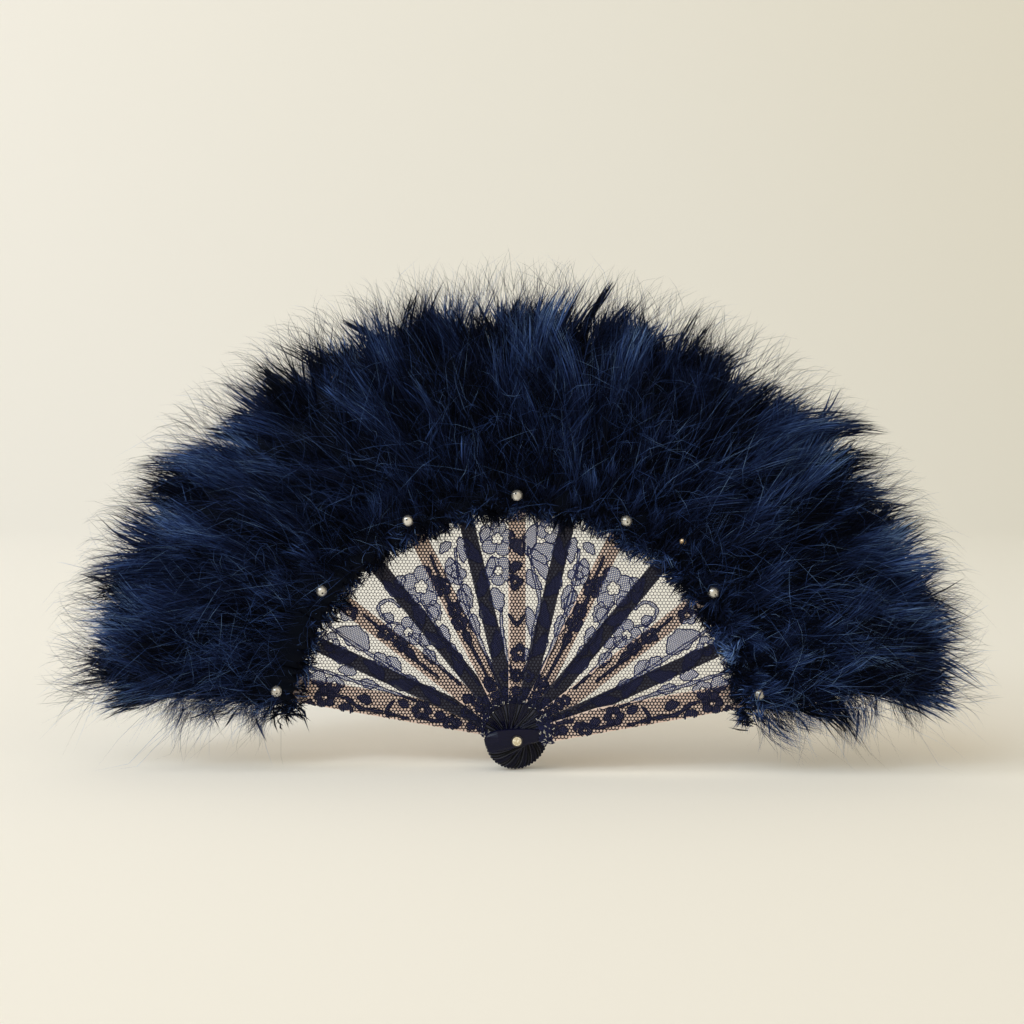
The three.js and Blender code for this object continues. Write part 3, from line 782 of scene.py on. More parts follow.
rng = np.random.default_rng(7)
cord = np.vstack([along_path(path) for path in cords])
frill = np.vstack([edge_frill(LEAF_INNER + 0.3, 2.4, rng), edge_frill(LEAF_OUTER - 3.4, 3, rng)])
collars = np.vstack([collar(n, rng) for n in (1, STICKS)])
glint_threads = np.vstack([frill[rng.random(len(frill)) < GLINT_SHARE], collars[::GLINT_EVERY]])
print("threads: cord", len(cord), "frill", len(frill), "collars", len(collars), "glint_threads", len(glint_threads))


# %% [markdown]
# ## Lace colours
# The threads are navy. Where the leaf is glued on a stick, the glue soaks the threads: they spread,
# so there they are wider. Over the open gaps the same threads get lighter colours, as painted light
# that shines through the thin lace from behind; on the sticks, where no light comes through, they
# keep darker navy colours. Each kind of thread carries a number, and a row of colours without
# blending turns the numbers into colours.

# %% Kinds of threads and their finish
# threads, width over a gap, width on a stick, ridge, lift, colour over a gap, which is painted
# lighter as light shining through, and colour on a stick
THREADS = [
    (net, 0.32, 0.56, 0.14, 0.0, 0.05, 0.15),
    (rows, 0.5, 0.9, 0.12, 0.02, 0.25, 0.35),
    (ties, 0.46, 0, 0.14, 0.05, 0.45, 0.35),
    (cord, 0.66, 0.6, 0.26, 0.06, 0.65, 0.75),
    (frill, 0.34, 0.4, 0.2, 0.06, 0.65, 0.75),
    (collars, 0.42, 0.42, 0.3, 0.1, 0.7, 0.7),
    # pale threads: painted glints on the navy thread
    (glint_threads, 0.34, 0.34, 0.26, 0.3, 0.95, 0.95),
]
# the lighter colours over the gaps are painted light shining through the lace; the last is a glint
THREAD_COLOURS = [
    (0.0, (80, 76, 88)), (0.1, (26, 23, 40)), (0.2, (112, 120, 158)), (0.3, (27, 31, 66)),
    (0.4, (92, 100, 142)), (0.6, (32, 36, 74)), (0.7, (14, 17, 46)), (0.9, (226, 222, 210)),
]
thread_finish, shader, node = start_finish(
    "navy_lace_thread", Roughness=0.5, Specular_IOR_Level=0.12, Sheen_Weight=0.05)
tone = ramp(node, node("Attribute", attribute_name="thread").outputs["Fac"], THREAD_COLOURS)
tone.color_ramp.interpolation = "CONSTANT"
slub = noise(node, object_place(node), 420, 3)
uneven = node("MapRange", {"Value": slub, "To Min": 0.6, "To Max": 1.4})
mixed = node("Mix", {"Factor": 1.0}, data_type="RGBA", blend_type="MULTIPLY")
link(tone.outputs["Color"], mixed, "A")
link(uneven.outputs["Result"], mixed, "B")
link(mixed.outputs["Result"], shader, "Base Color")
bump(node, slub, shader, 0.3)
print("kinds of threads:", len(THREADS), "colours:", len(THREAD_COLOURS))

# %% [markdown]
# ## Weaving the panels
# Every short piece becomes a low three-sided bar with its flat side on the leaf and a ridge in
# front. The bars are sorted by panel. A panel is glued on its stick and reaches over the gap to the
# next.

# %% Sort the threads by panel
pieces = np.vstack([kind[0] for kind in THREADS])
middle = (pieces[:, :2] + pieces[:, 2:]) / 2
panel, own_depth, glued = panel_of(middle[:, 0], middle[:, 1])
gap_wide, stick_wide, ridge, lift, backlit_gap_tone, stick_shade = (
    np.concatenate([np.full(len(kind[0]), kind[column]) for kind in THREADS])
    for column in range(1, 7))
for n in (1, STICKS):
    along, left = to_stick(n, middle[:, 0], middle[:, 1])
    near = (panel == 0) & (along > 11) & (along < 19) & (abs(left) < 10)
    panel[near], own_depth[near] = n, leaf_front(n)
width = np.where(glued, stick_wide, gap_wide)
thread = np.where(glued, stick_shade, backlit_gap_tone)
panel[width == 0] = 0
print("threads on each panel:", np.bincount(panel, minlength=STICKS + 1)[1:])

# %% Weave
LAP = 0.04
LEAF_BODY = 0.2
SIDES = np.array([[0, 3, 5, 2], [1, 2, 5, 4], [0, 1, 4, 3]])
CAPS = np.array([[0, 2, 1], [3, 4, 5]])


def weave_panel(n):
    """The mesh of one panel, and the plan area of its threads."""
    mine = panel == n
    a, b = pieces[mine, :2], pieces[mine, 2:]
    along = (b - a) / np.linalg.norm(b - a, axis=1)[:, None]
    a, b = a - along * LAP, b + along * LAP
    across = np.stack([-along[:, 1], along[:, 0]], 1) * width[mine, None] / 2
    points = []
    for end in (a, b):
        spots, depth, _ = panel_of(end[:, 0], end[:, 1])
        back = np.where(spots > 0, depth, own_depth[mine]) + LEAF_BODY - lift[mine]
        for offset, rise in ((across, 0), (-across, 0), (0 * across, 1)):
            plan = end + offset
            points.append(np.stack([plan[:, 0], back - rise * ridge[mine], plan[:, 1]], 1))
    points = np.stack(points, 1).reshape(-1, 3)
    first = np.arange(mine.sum())[:, None, None] * 6
    made = mesh_from(f"lace_panel_{n:02d}", points,
                     (first + SIDES).reshape(-1, 4), (first + CAPS).reshape(-1, 3))
    tag_points(made, "thread", np.repeat(thread[mine], 6))
    plan_area = (width[mine] * np.linalg.norm(b - a, axis=1)).sum()
    return made, plan_area


# %% Weave every panel, and fix the front guard's own panel to it
GRID = 0.5
grid_x, grid_z = (
    g.ravel() for g in np.meshgrid(np.arange(-120, 120, GRID), np.arange(-2, 120, GRID)))
covered = np.bincount(panel_of(grid_x, grid_z)[0], minlength=STICKS + 1) * GRID ** 2
for n in range(1, STICKS + 1):
    leaf, thread_area = weave_panel(n)
    wear_finish(leaf, thread_finish)
    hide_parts(f"lace_{n:02d}")
    if n == STICKS:
        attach(leaf, bodies[n - 1])
    else:
        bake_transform(leaf)
    print(leaf.name, "faces", len(leaf.data.polygons), "cover", round(thread_area / covered[n], 2))

# %% [markdown]
# ## Moulded ribs on the heads
# The sticks' heads are moulded, and from the rivet outwards each shows fine raised ribs that follow
# its curved edge: on the tail they sweep round to the scalloped rim, and above the rivet they run
# up the gorge. Only the strip that the next head leaves open is seen, so each head needs just two
# ribs on its tail and two on its gorge, half a pitch apart. A rib is a five-point path with a round
# section, half sunk into the head's front face and flattened to fit between the layers.

# %% Ribs of one head
# points along the stick and to its left, and the rib's half thickness
HEAD_RIBS = {
    "tail": ([(1.5, -4.2), (-5, -4.6), (-10.4, -5.2), (-14, -4.6), (-15.9, -2.9)], 0.46),
    "gorge": ([(5.2, 3.8), (8.6, 3.75), (12.2, 3.45), (15.4, 3.4), (18.6, 3.75)], 0.34),
}
RIB_FLAT = 0.7


def mould_rib(n, path, thick, turn):
    bpy.ops.curve.primitive_nurbs_path_add()
    rib = bpy.context.object
    spline = rib.data.splines[0]
    for point, (along, left) in zip(spline.points, path):
        reach = along * math.cos(turn) - left * math.sin(turn)
        across = along * math.sin(turn) + left * math.cos(turn)
        x, z = from_stick(n, reach, across)
        point.co = (x * mm, front_of(n) * mm, z * mm, 1)
    spline.use_endpoint_u = True
    rib.data.bevel_depth = thick * mm
    rib.data.bevel_resolution = 2
    rib.data.use_fill_caps = True
    return rib


def mould_ribs(n, material):
    bpy.ops.object.select_all(action="DESELECT")
    made = [mould_rib(n, path, thick, turn)
            for path, thick in HEAD_RIBS.values() for turn in (0, -STEP / 2)]
    bpy.ops.object.select_all(action="DESELECT")
    for rib in made:
        rib.select_set(True)
    bpy.ops.object.convert(target="MESH")
    bpy.ops.object.join()
    ribs = bpy.context.object
    ribs.name = f"head_ribs_{n:02d}"
    bpy.ops.object.origin_set(type="ORIGIN_CURSOR")
    bpy.ops.object.mode_set(mode="EDIT")
    bpy.ops.mesh.select_all(action="SELECT")
    bpy.ops.transform.resize(value=(1, RIB_FLAT, 1), center_override=(0, front_of(n) * mm, 0))
    bpy.ops.mesh.normals_make_consistent(inside=False)
    bpy.ops.mesh.faces_shade_smooth()
    bpy.ops.object.mode_set(mode="OBJECT")
    wear_finish(ribs, material)
    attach(ribs, bodies[n - 1])
    return ribs


for n in range(1, STICKS):
    finish, slot = (gloss, "navy_gorge") if n % 2 else (head_dark, "dark_stick")
    ribs = mould_ribs(n, finish)
print("ribs on a head:", len(ribs.data.polygons), "faces")

# %% [markdown]
# ## Beads
# A pearl bead sits among the feather feet on every tan stick, and one small golden bead on the tenth
# stick. Each is turned from a sphere and bored through for its thread: the bore shows as a small
# dark dot on the front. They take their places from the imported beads.

# %% Bead finishes
pearl, shader, node = start_finish(
    "grey_pearl", Metallic=0.7, Coat_Weight=0.8, Coat_Roughness=0.08, Specular_IOR_Level=0.6)
lustre = noise(node, object_place(node), 260, 3)
tint(node, lustre, [(0.3, (142, 138, 132)), (0.5, (200, 196, 188)), (0.7, (246, 243, 236))], shader)
rub(node, lustre, 0.14, 0.32, shader)

golden, shader, node = start_finish("golden_bead_metal", Metallic=1.0)
lustre = noise(node, object_place(node), 500, 3)
tint(node, lustre, [(0.3, (158, 128, 88)), (0.7, (232, 204, 164))], shader)
rub(node, lustre, 0.22, 0.4, shader)
print("bead finishes:", pearl.name, golden.name)


# %% Turned beads
def turn_bead(packed, material, bore, tilt):
    """A bored bead in the place of a packed one. The bore is a radius, and tilts in degrees."""
    corners = np.array([packed.matrix_world @ vertex.co for vertex in packed.data.vertices])
    centre = (corners.min(0) + corners.max(0)) / 2
    radius = (corners.max(0) - corners.min(0)).max() / 2
    bpy.ops.object.select_all(action="DESELECT")
    bpy.ops.mesh.primitive_cylinder_add(
        vertices=14, radius=bore * mm, depth=4 * radius, location=centre,
        rotation=(math.radians(90 + tilt), 0, math.radians(tilt * 0.7)))
    drill = bpy.context.object
    bpy.ops.mesh.primitive_uv_sphere_add(segments=32, ring_count=20, radius=radius, location=centre)
    bead = bpy.context.object
    cut = bead.modifiers.new("bore", "BOOLEAN")
    cut.object = drill
    cut.operation = "DIFFERENCE"
    cut.solver = "EXACT"
    bpy.ops.object.modifier_apply(modifier="bore")
    bpy.data.objects.remove(drill)
    bpy.ops.object.transform_apply(location=True, rotation=True, scale=True)
    bpy.ops.object.shade_smooth_by_angle(angle=math.radians(40))
    bead.name = packed.name + "_turned"
    wear_finish(bead, material)
    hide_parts(packed.name)
    return bead


for name, piece in list(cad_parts.items()):
    number = int(name[-2:]) if name[-2:].isdigit() else 0
    if name.startswith("pearl"):
        bead = turn_bead(piece, pearl, bore=0.5, tilt=24 * math.sin(number * 2.4))
    elif name.startswith("gold_bead"):
        bead = turn_bead(piece, golden, bore=0.4, tilt=20)
    else:
        continue
    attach(bead, bodies[number - 1])
print("bead faces:", len(bead.data.polygons))


# %% [markdown]
# ## Marabou
# Marabou is the soft under-plumage of a bird: each feather has a thin shaft, and long loose barbs
# leave it and cling together in locks. Dyed feathers of this kind are tied to the sticks in tiers,
# tips outwards, in front and behind, each tier lying over the feet of the next. A shell with a
# hairy texture would show a smooth outline, and live hair strands can't be exported. So every tuft
# is built from flat pointed locks, which give it body, and fine single barbs over them, all closed
# spikes of three sides that bend on their way. They are made for one stick at a time, in the
# stick's own measures (reach along it, left across it, depth), and every random choice starts from
# the stick's number, so each run gives the same fan.

# %% How the tiers of tufts lie
# side (-1 front, 1 back), tufts, locks, barbs, base reach, tip reach, level in the band, half width
TIERS = [
    (-1, 9, 34, 150, (150, 182), (225, 250), (0.1, 0.75), 9),
    (-1, 8, 22, 84, (134, 160), (186, 226), (0.7, 0.97), 8),
    (-1, 8, 20, 70, (124, 140), (150, 192), (0.8, 1.0), 7),
    (-1, 7, 16, 44, (120, 127), (132, 158), (0.6, 0.95), 5),
    (1, 7, 30, 70, (150, 178), (225, 247), (0.1, 0.75), 10),
    (1, 5, 20, 40, (130, 155), (180, 216), (0.7, 0.95), 9),
    (1, 5, 28, 30, (121, 132), (145, 180), (0.85, 1.0), 8),
    (1, 6, 32, 24, (110, 117), (134, 152), (0.6, 0.9), 6),
]
# narrow tiers that lie close over the end of each stick, so that it doesn't show
COVERS = [
    (-1, 4, 28, 30, (180, 194), (226, 240), (0.15, 0.4), 8),
    (1, 4, 30, 24, (180, 194), (226, 240), (0.4, 0.9), 8),
]
print("tiers:", len(TIERS), "covers:", len(COVERS))

# %% [markdown]
# ## The feather band
# Seen from the side, the whole band is a blunt lens: thin where the feathers are tied on, deepest in
# the middle of their length and thin again at the tips. Each stick's feathers press on those of its
# neighbours, so they follow the depth of their own stick only by a share. At both sides of the open
# fan the barbs lie level, and their own weight makes them sag.

# %% Shape of the band
# reaches where the band begins, is deepest, thins out, closes in depth, and of its last wisps
BAND_INNER, BAND_MIDDLE, BAND_OUTER, BAND_CLOSE, BAND_WISP = 117, 181, 244, 253, 262
BAND_HALF, BAND_BLUNT = 19, 2.6
# depth of the middle stick's plume, and the share of the sticks' depths that plumes follow
PLUME_MIDDLE, PLUME_FOLLOW = -3.8, 0.45
# how far level barbs sag as a share of their length, and a guard's share of that
SAG, GUARD_SAG = 0.24, 0.15
# farthest that a point can lie in front of the middle of its plume, or behind it
FARTHEST_OUT = 27


def unit(v):
    return v / np.maximum(np.linalg.norm(v, axis=-1, keepdims=True), 1e-9)


def middle_of(n):
    """Depth of the middle of a stick's plume, which follows the stick by a share."""
    return PLUME_MIDDLE - PLUME_FOLLOW * (n - MIDDLE) * LAYER


def face_of(n, side):
    """Depth of a stick's front (-1) or back (1) face."""
    return front_of(n) + (thickness_of(n) if side > 0 else 0)


def band_depth(reach):
    """Half depth of the feather band at a reach from the rivet."""
    inside = (BAND_MIDDLE - reach) / (BAND_MIDDLE - BAND_INNER)
    outside = (reach - BAND_MIDDLE) / (BAND_CLOSE - BAND_MIDDLE)
    share = np.clip(np.maximum(inside, outside), 0, 0.995)
    return BAND_HALF * (1 - share ** BAND_BLUNT) ** (1 / BAND_BLUNT)


def droop(n):
    """How far a barb sags to the left, as a share of its length: it hangs down at the sides."""
    return -SAG * math.cos(heading(n)) * (GUARD_SAG if n in (1, STICKS) else 1)


def within_band(lines, middle):
    """Eases points that stand too far out back towards the band's outline and depth."""
    reach = np.hypot(lines[..., 0], lines[..., 1])
    over = np.maximum(reach - BAND_OUTER, 0)
    room = BAND_WISP - BAND_OUTER
    kept = BAND_OUTER + room * (1 - np.exp(-over / room))
    scale = np.where(over > 0, kept / np.maximum(reach, 1e-6), 1)
    lines[..., 0] *= scale
    lines[..., 1] *= scale
    lines[..., 2] = middle + FARTHEST_OUT * np.tanh((lines[..., 2] - middle) / FARTHEST_OUT)
    return lines


print("feather band:", BAND_WISP - BAND_INNER, "mm long and", 2 * BAND_HALF, "mm deep")


# %% [markdown]
# ## One tier of tufts
# A tuft starts on the stick, leans outwards and bows to one side. Its strands leave it one after the
# other: the first ones end early, the last ones at the tuft's tip, and they spread to both sides and
# fray at their ends. Some tufts are much darker than others, partly as dye that differs at random and
# partly as painted shade for the dark gaps between tufts. Every strand rises from the stick's face
# towards the surface of the band and sinks a little at its tip. Its colour is painted lighter from
# foot to tip, as painted shade at the feet and painted light at the tips, lighter on its tuft's crest
# and near the rim as painted light, and darker again where it fades out at the rim, as painted shade
# of thin ends seen against the light.

# %% Lay the tufts of a tier
# a spread is given at this reach, and grows with the reach as the sticks do
SPREAD_REACH = 150
# scatter of tufts across the spread and of their headings, and how much they fan out and bow
TUFT_SCATTER, TUFT_STRAY, TUFT_FAN, TUFT_BOW = 0.12, 0.26, 0.1, 1.3
# tones of dark tufts, partly random dye and partly painted shade for the gaps, and of light tufts
DARK_TONES, LIGHT_TONES = (0.04, 0.3), (0.42, 1.05)


def lay_tufts(rng, tufts, base_reach, tip_reach, level, spread, lean, shift, dark, wild):
    """Each tuft's start, place to the left, heading, length, bow, tone and level in the band."""
    across = (np.linspace(-1, 1, tufts) + rng.normal(0, TUFT_SCATTER, tufts)) * spread
    start = rng.uniform(*base_reach, tufts)
    left = across * start / SPREAD_REACH + shift
    stray = np.clip(rng.normal(0, TUFT_STRAY, (2, tufts)), -wild, wild)
    aim = left / start + across / spread * TUFT_FAN + stray[0] + lean
    length = rng.uniform(*tip_reach, tufts) - start
    bow = TUFT_BOW * stray[1] * length
    tone = np.where(rng.random(tufts) < dark, rng.uniform(*DARK_TONES, tufts),
                    rng.uniform(*LIGHT_TONES, tufts))
    return start, left, aim, length, bow, tone, rng.uniform(*level, tufts)


# %% Comb its strands
# how much earlier the first strands end, how unevenly, and lengths, all as shares of the tuft's
STRAND_EARLIER, STRAND_UNEVEN, STRAND_LONG = 0.42, 0.025, (0.36, 0.62)
STRAND_DRIFT, STRAND_BENDS = 0.3, 3
# least depth of the band, distance from the stick's face, how far tips stand up, and how they sink
LEAST_ROOM, CLEAR, RUFFLE, TIP_SINK = 6, 0.5, 0.8, 0.12
# the crest of a tuft stands higher than its sides and is painted lighter, as painted light on its
# top; the sides get these shares
SIDE_HIGH, SIDE_PAINTED_LIGHT = 0.66, 0.6
# unevenness of the dye; a foot's share of the lightness, painted shade deep in the plume; and reaches
# over which the rim is painted lighter, as painted light on the crest, then darker as thin ends fade
DYE_UNEVEN, FOOT_PAINTED_SHADE, RIM_PAINTED_LIGHT, RIM_PAINTED_SHADE = 0.07, 0.12, (190, 235), (234, 248)


def eased(share, full):
    """Rises from 0 to 1 as a share goes from 0 to a full one, fast at first."""
    return np.sin(math.pi / 2 * np.clip(share / full, 0, 1))


def part_way(reach, low, high):
    """Share of the way from a low to a high reach, from 0 to 1."""
    return np.clip((reach - low) / (high - low), 0, 1)


def comb_tufts(rng, n, side, tufts, strands, base_reach, tip_reach, level, half, spread, lean=0.0,
               shift=0.0, dark=0.42, kept=1.0, fray=2.8, wild=0.42):
    """Strands of one tier as lines of points, and the shades along them."""
    laid = lay_tufts(rng, tufts, base_reach, tip_reach, level, spread, lean, shift, dark, wild)
    start, left, aim, length, bow, tone, high = (
        np.repeat(value, strands)[:, None] for value in laid)

    # places along each strand as shares of its tuft's length
    each = (tufts * strands, 1)
    t = np.linspace(0, 1, STRAND_BENDS + 1)
    end = 1 - STRAND_EARLIER * rng.random(each) ** 1.7 + rng.normal(0, STRAND_UNEVEN, each)
    foot = np.clip(end - rng.uniform(*STRAND_LONG, each), 0, 1)
    s = foot + (end * kept - foot) * t

    # distance from the tuft's straight line, then the place in the stick's plane
    place = rng.uniform(-1, 1, each)
    drift = rng.normal(0, STRAND_DRIFT, each)
    crest = rng.uniform(0, 1, each) * (1 - place ** 2)
    off = half * (place + drift * t) * (0.3 + 0.7 * eased(s, 0.8))
    off += rng.normal(0, fray, each) * t ** 2.2
    off += bow * s ** 2
    far = start + length * s * np.cos(aim) - off * np.sin(aim)
    aside = left + length * s * np.sin(aim) + off * np.cos(aim)
    aside += droop(n) * length * s ** 2.4
    reach = np.hypot(far, aside)

    # depth between the stick's face and the band's surface
    rise = eased(s, 0.45) - TIP_SINK * np.clip(s - 0.6, 0, 1) / 0.4
    share = high * (SIDE_HIGH + (1 - SIDE_HIGH) * crest) * rise
    face = face_of(n, side)
    room = side * np.maximum(side * (middle_of(n) - face) + band_depth(reach), LEAST_ROOM)
    ruffle = np.abs(rng.normal(0, RUFFLE, each)) * t ** 2
    depth = face + room * share + side * (CLEAR + ruffle)

    # painted shade at the feet, painted light on crests and tips, painted shade where the rim fades
    shade = tone * (SIDE_PAINTED_LIGHT + (1 - SIDE_PAINTED_LIGHT) * crest) + rng.normal(0, DYE_UNEVEN, each)
    shade = shade * (FOOT_PAINTED_SHADE + (1 - FOOT_PAINTED_SHADE) * np.clip(s, 0, 1) ** 1.3)
    shade *= 0.85 + 0.4 * part_way(reach, *RIM_PAINTED_LIGHT) - 0.5 * part_way(reach, *RIM_PAINTED_SHADE)
    return np.stack([far, aside, depth], -1), np.clip(shade, 0.02, 1)


print("points along a strand:", STRAND_BENDS + 1)


# %% [markdown]
# ## Single barbs
# Over the tiers lie single barbs that have come loose. Each starts near the surface of the band,
# stands off it a little and curls as it likes.

# %% Loose barbs
VEER_SAG = 1.8


def loose_barbs(rng, n, count, reach, long, side, swing=0.45, shift=0.0, drop=0.0, level=0.92,
                curl=0.42, width=1.0):
    """Lines of single barbs that stand off the surface of the band."""
    start = rng.uniform(*reach, count)
    left = rng.uniform(-1, 1, count) * start * math.tan(STEP / 2) * width + shift
    face = middle_of(n) + side * band_depth(start) * level
    base = np.stack([start, left, face], -1)
    aim = left / start + rng.normal(0, swing, count) + drop
    leave = unit(np.stack([np.cos(aim), np.sin(aim), side * rng.normal(0.02, 0.16, count)], -1))
    veer = rng.normal(0, curl, (count, 1, 3)) * np.array([1, 1, 0.3])
    veer[..., 1] += VEER_SAG * droop(n)
    t = np.linspace(0, 1, 4)[None, :, None]
    length = rng.uniform(*long, count)[:, None, None]
    return base[:, None] + length * (leave[:, None] * t + veer * t ** 2)


# %% [markdown]
# ## The fringe
# Where the feathers are tied on, short down turns back over the leaf's outer edge and hides their
# feet. These tufts point every way, mostly towards the rivet. On a panel that rises to the next
# stick, the tufts rise with it.

# %% Fringe of short down
FRINGE_INNER, FRINGE_DEEP = 120.5, 9
# shortest down and how much longer it gets, its scatter round a tuft along and across the stick
DOWN_SHORT, DOWN_LONGER, DOWN_ALONG, DOWN_ACROSS = 3.5, 9.5, 1.5, 2.1
# shares of strands in front and of dark tufts, and a dark tuft's tone
FRINGE_FRONT, FRINGE_DARK, FRINGE_TONE = 0.66, 0.45, 0.15
# how far the fringe climbs with its panel, how wide it is there, and reaches over which it swells
CLIMB, CLIMB_WIDE, FRINGE_SWELL = 1.3, 13, (119, 127)
# depth of the front guard's fringe, and how far the others stand off their stick's two faces
FRINGE_FRONT_GUARD, FRINGE_OFF, FRINGE_BACK_OFF = -13.1, 1.1, 0.7


def fringe(rng, n, tufts, strands):
    """Strands of short down as lines of points, and the shades along them."""
    start = FRINGE_INNER + FRINGE_DEEP * rng.beta(1.0, 1.4, tufts)
    left = (np.linspace(-1, 1, tufts) + rng.normal(0, 0.1, tufts)) * start * math.tan(STEP / 2)
    rng.shuffle(left)
    aim = left / start + math.pi + rng.normal(0, 0.75, tufts)
    length = DOWN_SHORT + DOWN_LONGER * rng.beta(1.2, 2.0, tufts)
    dark = rng.random(tufts) < FRINGE_DARK
    tone = np.where(dark, FRINGE_TONE, rng.uniform(0.4, 1.0, tufts))
    bow = rng.normal(0, 0.5, tufts)
    tuft = np.repeat(np.arange(tufts), strands)
    count = len(tuft)
    reach = start[tuft] + rng.normal(0, DOWN_ALONG, count)
    place = left[tuft] + rng.normal(0, DOWN_ACROSS, count)
    side = np.where(rng.random(count) < FRINGE_FRONT, -1.0, 1.0)
    climb = np.clip(-place / CLIMB_WIDE, 0, 1) * CLIMB
    front = FRINGE_FRONT_GUARD if n == STICKS else front_of(n) - FRINGE_OFF - climb
    back = face_of(n, 1) + FRINGE_BACK_OFF
    stand = 1.2 + 10 * part_way(reach, *FRINGE_SWELL)
    depth = np.where(side < 0, front, back) + side * rng.uniform(0, 1, count) * stand
    turn = aim[tuft] + rng.normal(0, 0.4, count)
    leave = unit(np.stack([np.cos(turn), np.sin(turn), side * rng.uniform(-0.05, 0.55, count)], -1))
    across = np.stack([-np.sin(turn), np.cos(turn), np.zeros(count)], -1)
    veer = across * bow[tuft][:, None] + rng.normal(0, 0.2, (count, 3)) * np.array([1, 1, 0.5])
    long = (length[tuft] * rng.uniform(0.55, 1.1, count))[:, None, None]
    t = np.linspace(0, 1, 3)[None, :, None]
    base = np.stack([reach, place, depth], -1)
    lines = base[:, None] + long * (leave[:, None] * t + veer[:, None] * t ** 2)
    # the down is painted darker at its feet, as painted shade where it is tied on
    shade = tone[tuft][:, None] * (0.3 + 0.7 * t[..., 0]) + rng.normal(0, 0.08, count)[:, None]
    return lines, np.clip(shade, 0.02, 1)


# %% [markdown]
# ## From lines to spikes
# A strand is a line of points. It becomes a thin spike: three corners round each point but the last,
# where the spike ends in one, and a lid at its foot. A barb is widest at its foot. A lock is many
# barbs in one, so it widens first, and its ends are pointed.

# %% Spikes
BARB_TAPER = (1, 0.8, 0.5, 0)
LOCK_TAPER = (0.5, 1, 0.72, 0)
CORNERS = 3
STRAND_NUMBERS = 7.31


def spike_faces(stations):
    """Faces of one spike: its sides, and its lid with the triangles of the tip."""
    around = [(corner, (corner + 1) % CORNERS) for corner in range(CORNERS)]
    last = CORNERS * (stations - 2)
    quads = [[k + a, k + b, k + CORNERS + b, k + CORNERS + a]
             for k in range(0, last, CORNERS) for a, b in around]
    tris = [[0, 2, 1]] + [[last + a, last + b, last + CORNERS] for a, b in around]
    return np.array(quads), np.array(tris)


def spikes(lines, wide, high, taper):
    """Closed three-sided spikes along lines: points, faces and places across and along them."""
    count, stations, _ = lines.shape
    ahead = unit(np.gradient(lines, axis=1))
    side = unit(np.cross(ahead, [0.05, 0.03, 1.0]))
    up = np.cross(ahead, side)
    steps = np.linalg.norm(np.diff(lines, axis=1), axis=-1).cumsum(1)
    points, comb = [], []
    number = np.arange(count) * STRAND_NUMBERS
    for k in range(stations - 1):
        size = np.interp(k / (stations - 1), np.linspace(0, 1, len(taper)), taper)
        along = steps[:, k - 1] if k else np.zeros(count)
        for corner in range(CORNERS):
            turn = 2 * math.pi * corner / CORNERS + math.pi / 2
            step = wide * (size * math.cos(turn))
            points.append(lines[:, k] + side[:, k] * step[:, None]
                          + up[:, k] * (high * size * math.sin(turn))[:, None])
            comb.append(np.stack([step, along, number], -1))
    points.append(lines[:, -1])
    comb.append(np.stack([np.zeros(count), steps[:, -1], number], -1))
    points = np.stack(points, 1)
    quads, tris = spike_faces(stations)
    first = np.arange(count)[:, None, None] * points.shape[1]
    return (points.reshape(-1, 3), (first + quads).reshape(-1, 4), (first + tris).reshape(-1, 3),
            np.stack(comb, 1).reshape(-1, 3))


print("triangles of a barb:", sum(len(faces) * (faces.shape[1] - 2) for faces in spike_faces(4)))


# %% [markdown]
# ## The down at the plume's heart
# Below the visible barbs a plume is so dense that nothing shows through it. A body of matted down,
# one for each stick, stands for that. It is coloured near black, as painted shade, the darkness deep
# between the wisps. It is a ring of blunt cross-sections swept over the stick's share of the spread,
# and the barbs hide it from every side.

# %% Heart of a plume
HEART_REACH, HEART_HALF, HEART_DEEP = 165, 44, 9
HEART_RINGS, HEART_ROUND = 13, 18
# overlap of the heart's sweep, its share at a guard, and its near-black colour, painted shade
HEART_LAP, HEART_END, HEART_SHADE = 1.02, 0.45, 0.04
HEART_COMB = (1, 0.3, 1)


def blunt(v):
    return np.sign(v) * np.abs(v) ** 0.8


def heart(n):
    low, high = {1: (-1, HEART_END), STICKS: (-HEART_END, 1)}.get(n, (-1, 1))
    around = np.linspace(0, 2 * math.pi, HEART_ROUND, endpoint=False)
    cos, sin = np.cos(around), np.sin(around)
    rings = []
    for k, turn in enumerate(np.linspace(low, high, HEART_RINGS) * STEP / 2 * HEART_LAP):
        ragged = (5 if k % 2 else -3) * (cos > 0.7) + 2 * np.sin(k * 2.3 + n)
        reach = HEART_REACH + HEART_HALF * blunt(cos) + ragged
        depth = middle_of(n) + (HEART_DEEP + 1.2 * np.sin(3 * around + n)) * blunt(sin)
        rings.append(np.stack([reach * math.cos(turn), reach * math.sin(turn), depth], 1))
    points = np.vstack(rings)
    k, j = np.meshgrid(np.arange(HEART_RINGS - 1) * HEART_ROUND, np.arange(HEART_ROUND), indexing="ij")
    after = (j + 1) % HEART_ROUND
    quads = np.stack([k + j, k + after, k + HEART_ROUND + after, k + HEART_ROUND + j], -1)
    last = (HEART_RINGS - 1) * HEART_ROUND
    inner = range(1, HEART_ROUND - 1)
    lids = [[0, a + 1, a] for a in inner] + [[last, last + a, last + a + 1] for a in inner]
    return points, quads.reshape(-1, 4), np.array(lids), points * np.array(HEART_COMB)


# %% [markdown]
# ## Feather colour
# Navy dye takes unevenly from barb to barb. Shafts and the feet of the barbs are painted near black,
# as painted shade deep in the plume, and the thin ends are painted brighter blue, as painted light
# where they catch it. Every barb carries its own shade as an attribute, from its foot to its tip,
# and the finish turns that into colour. A second attribute holds the place across and along each
# lock, and noise drawn out along it parts the lock into the many barbs that it stands for. Barbs are
# dull, so the gloss is kept low.

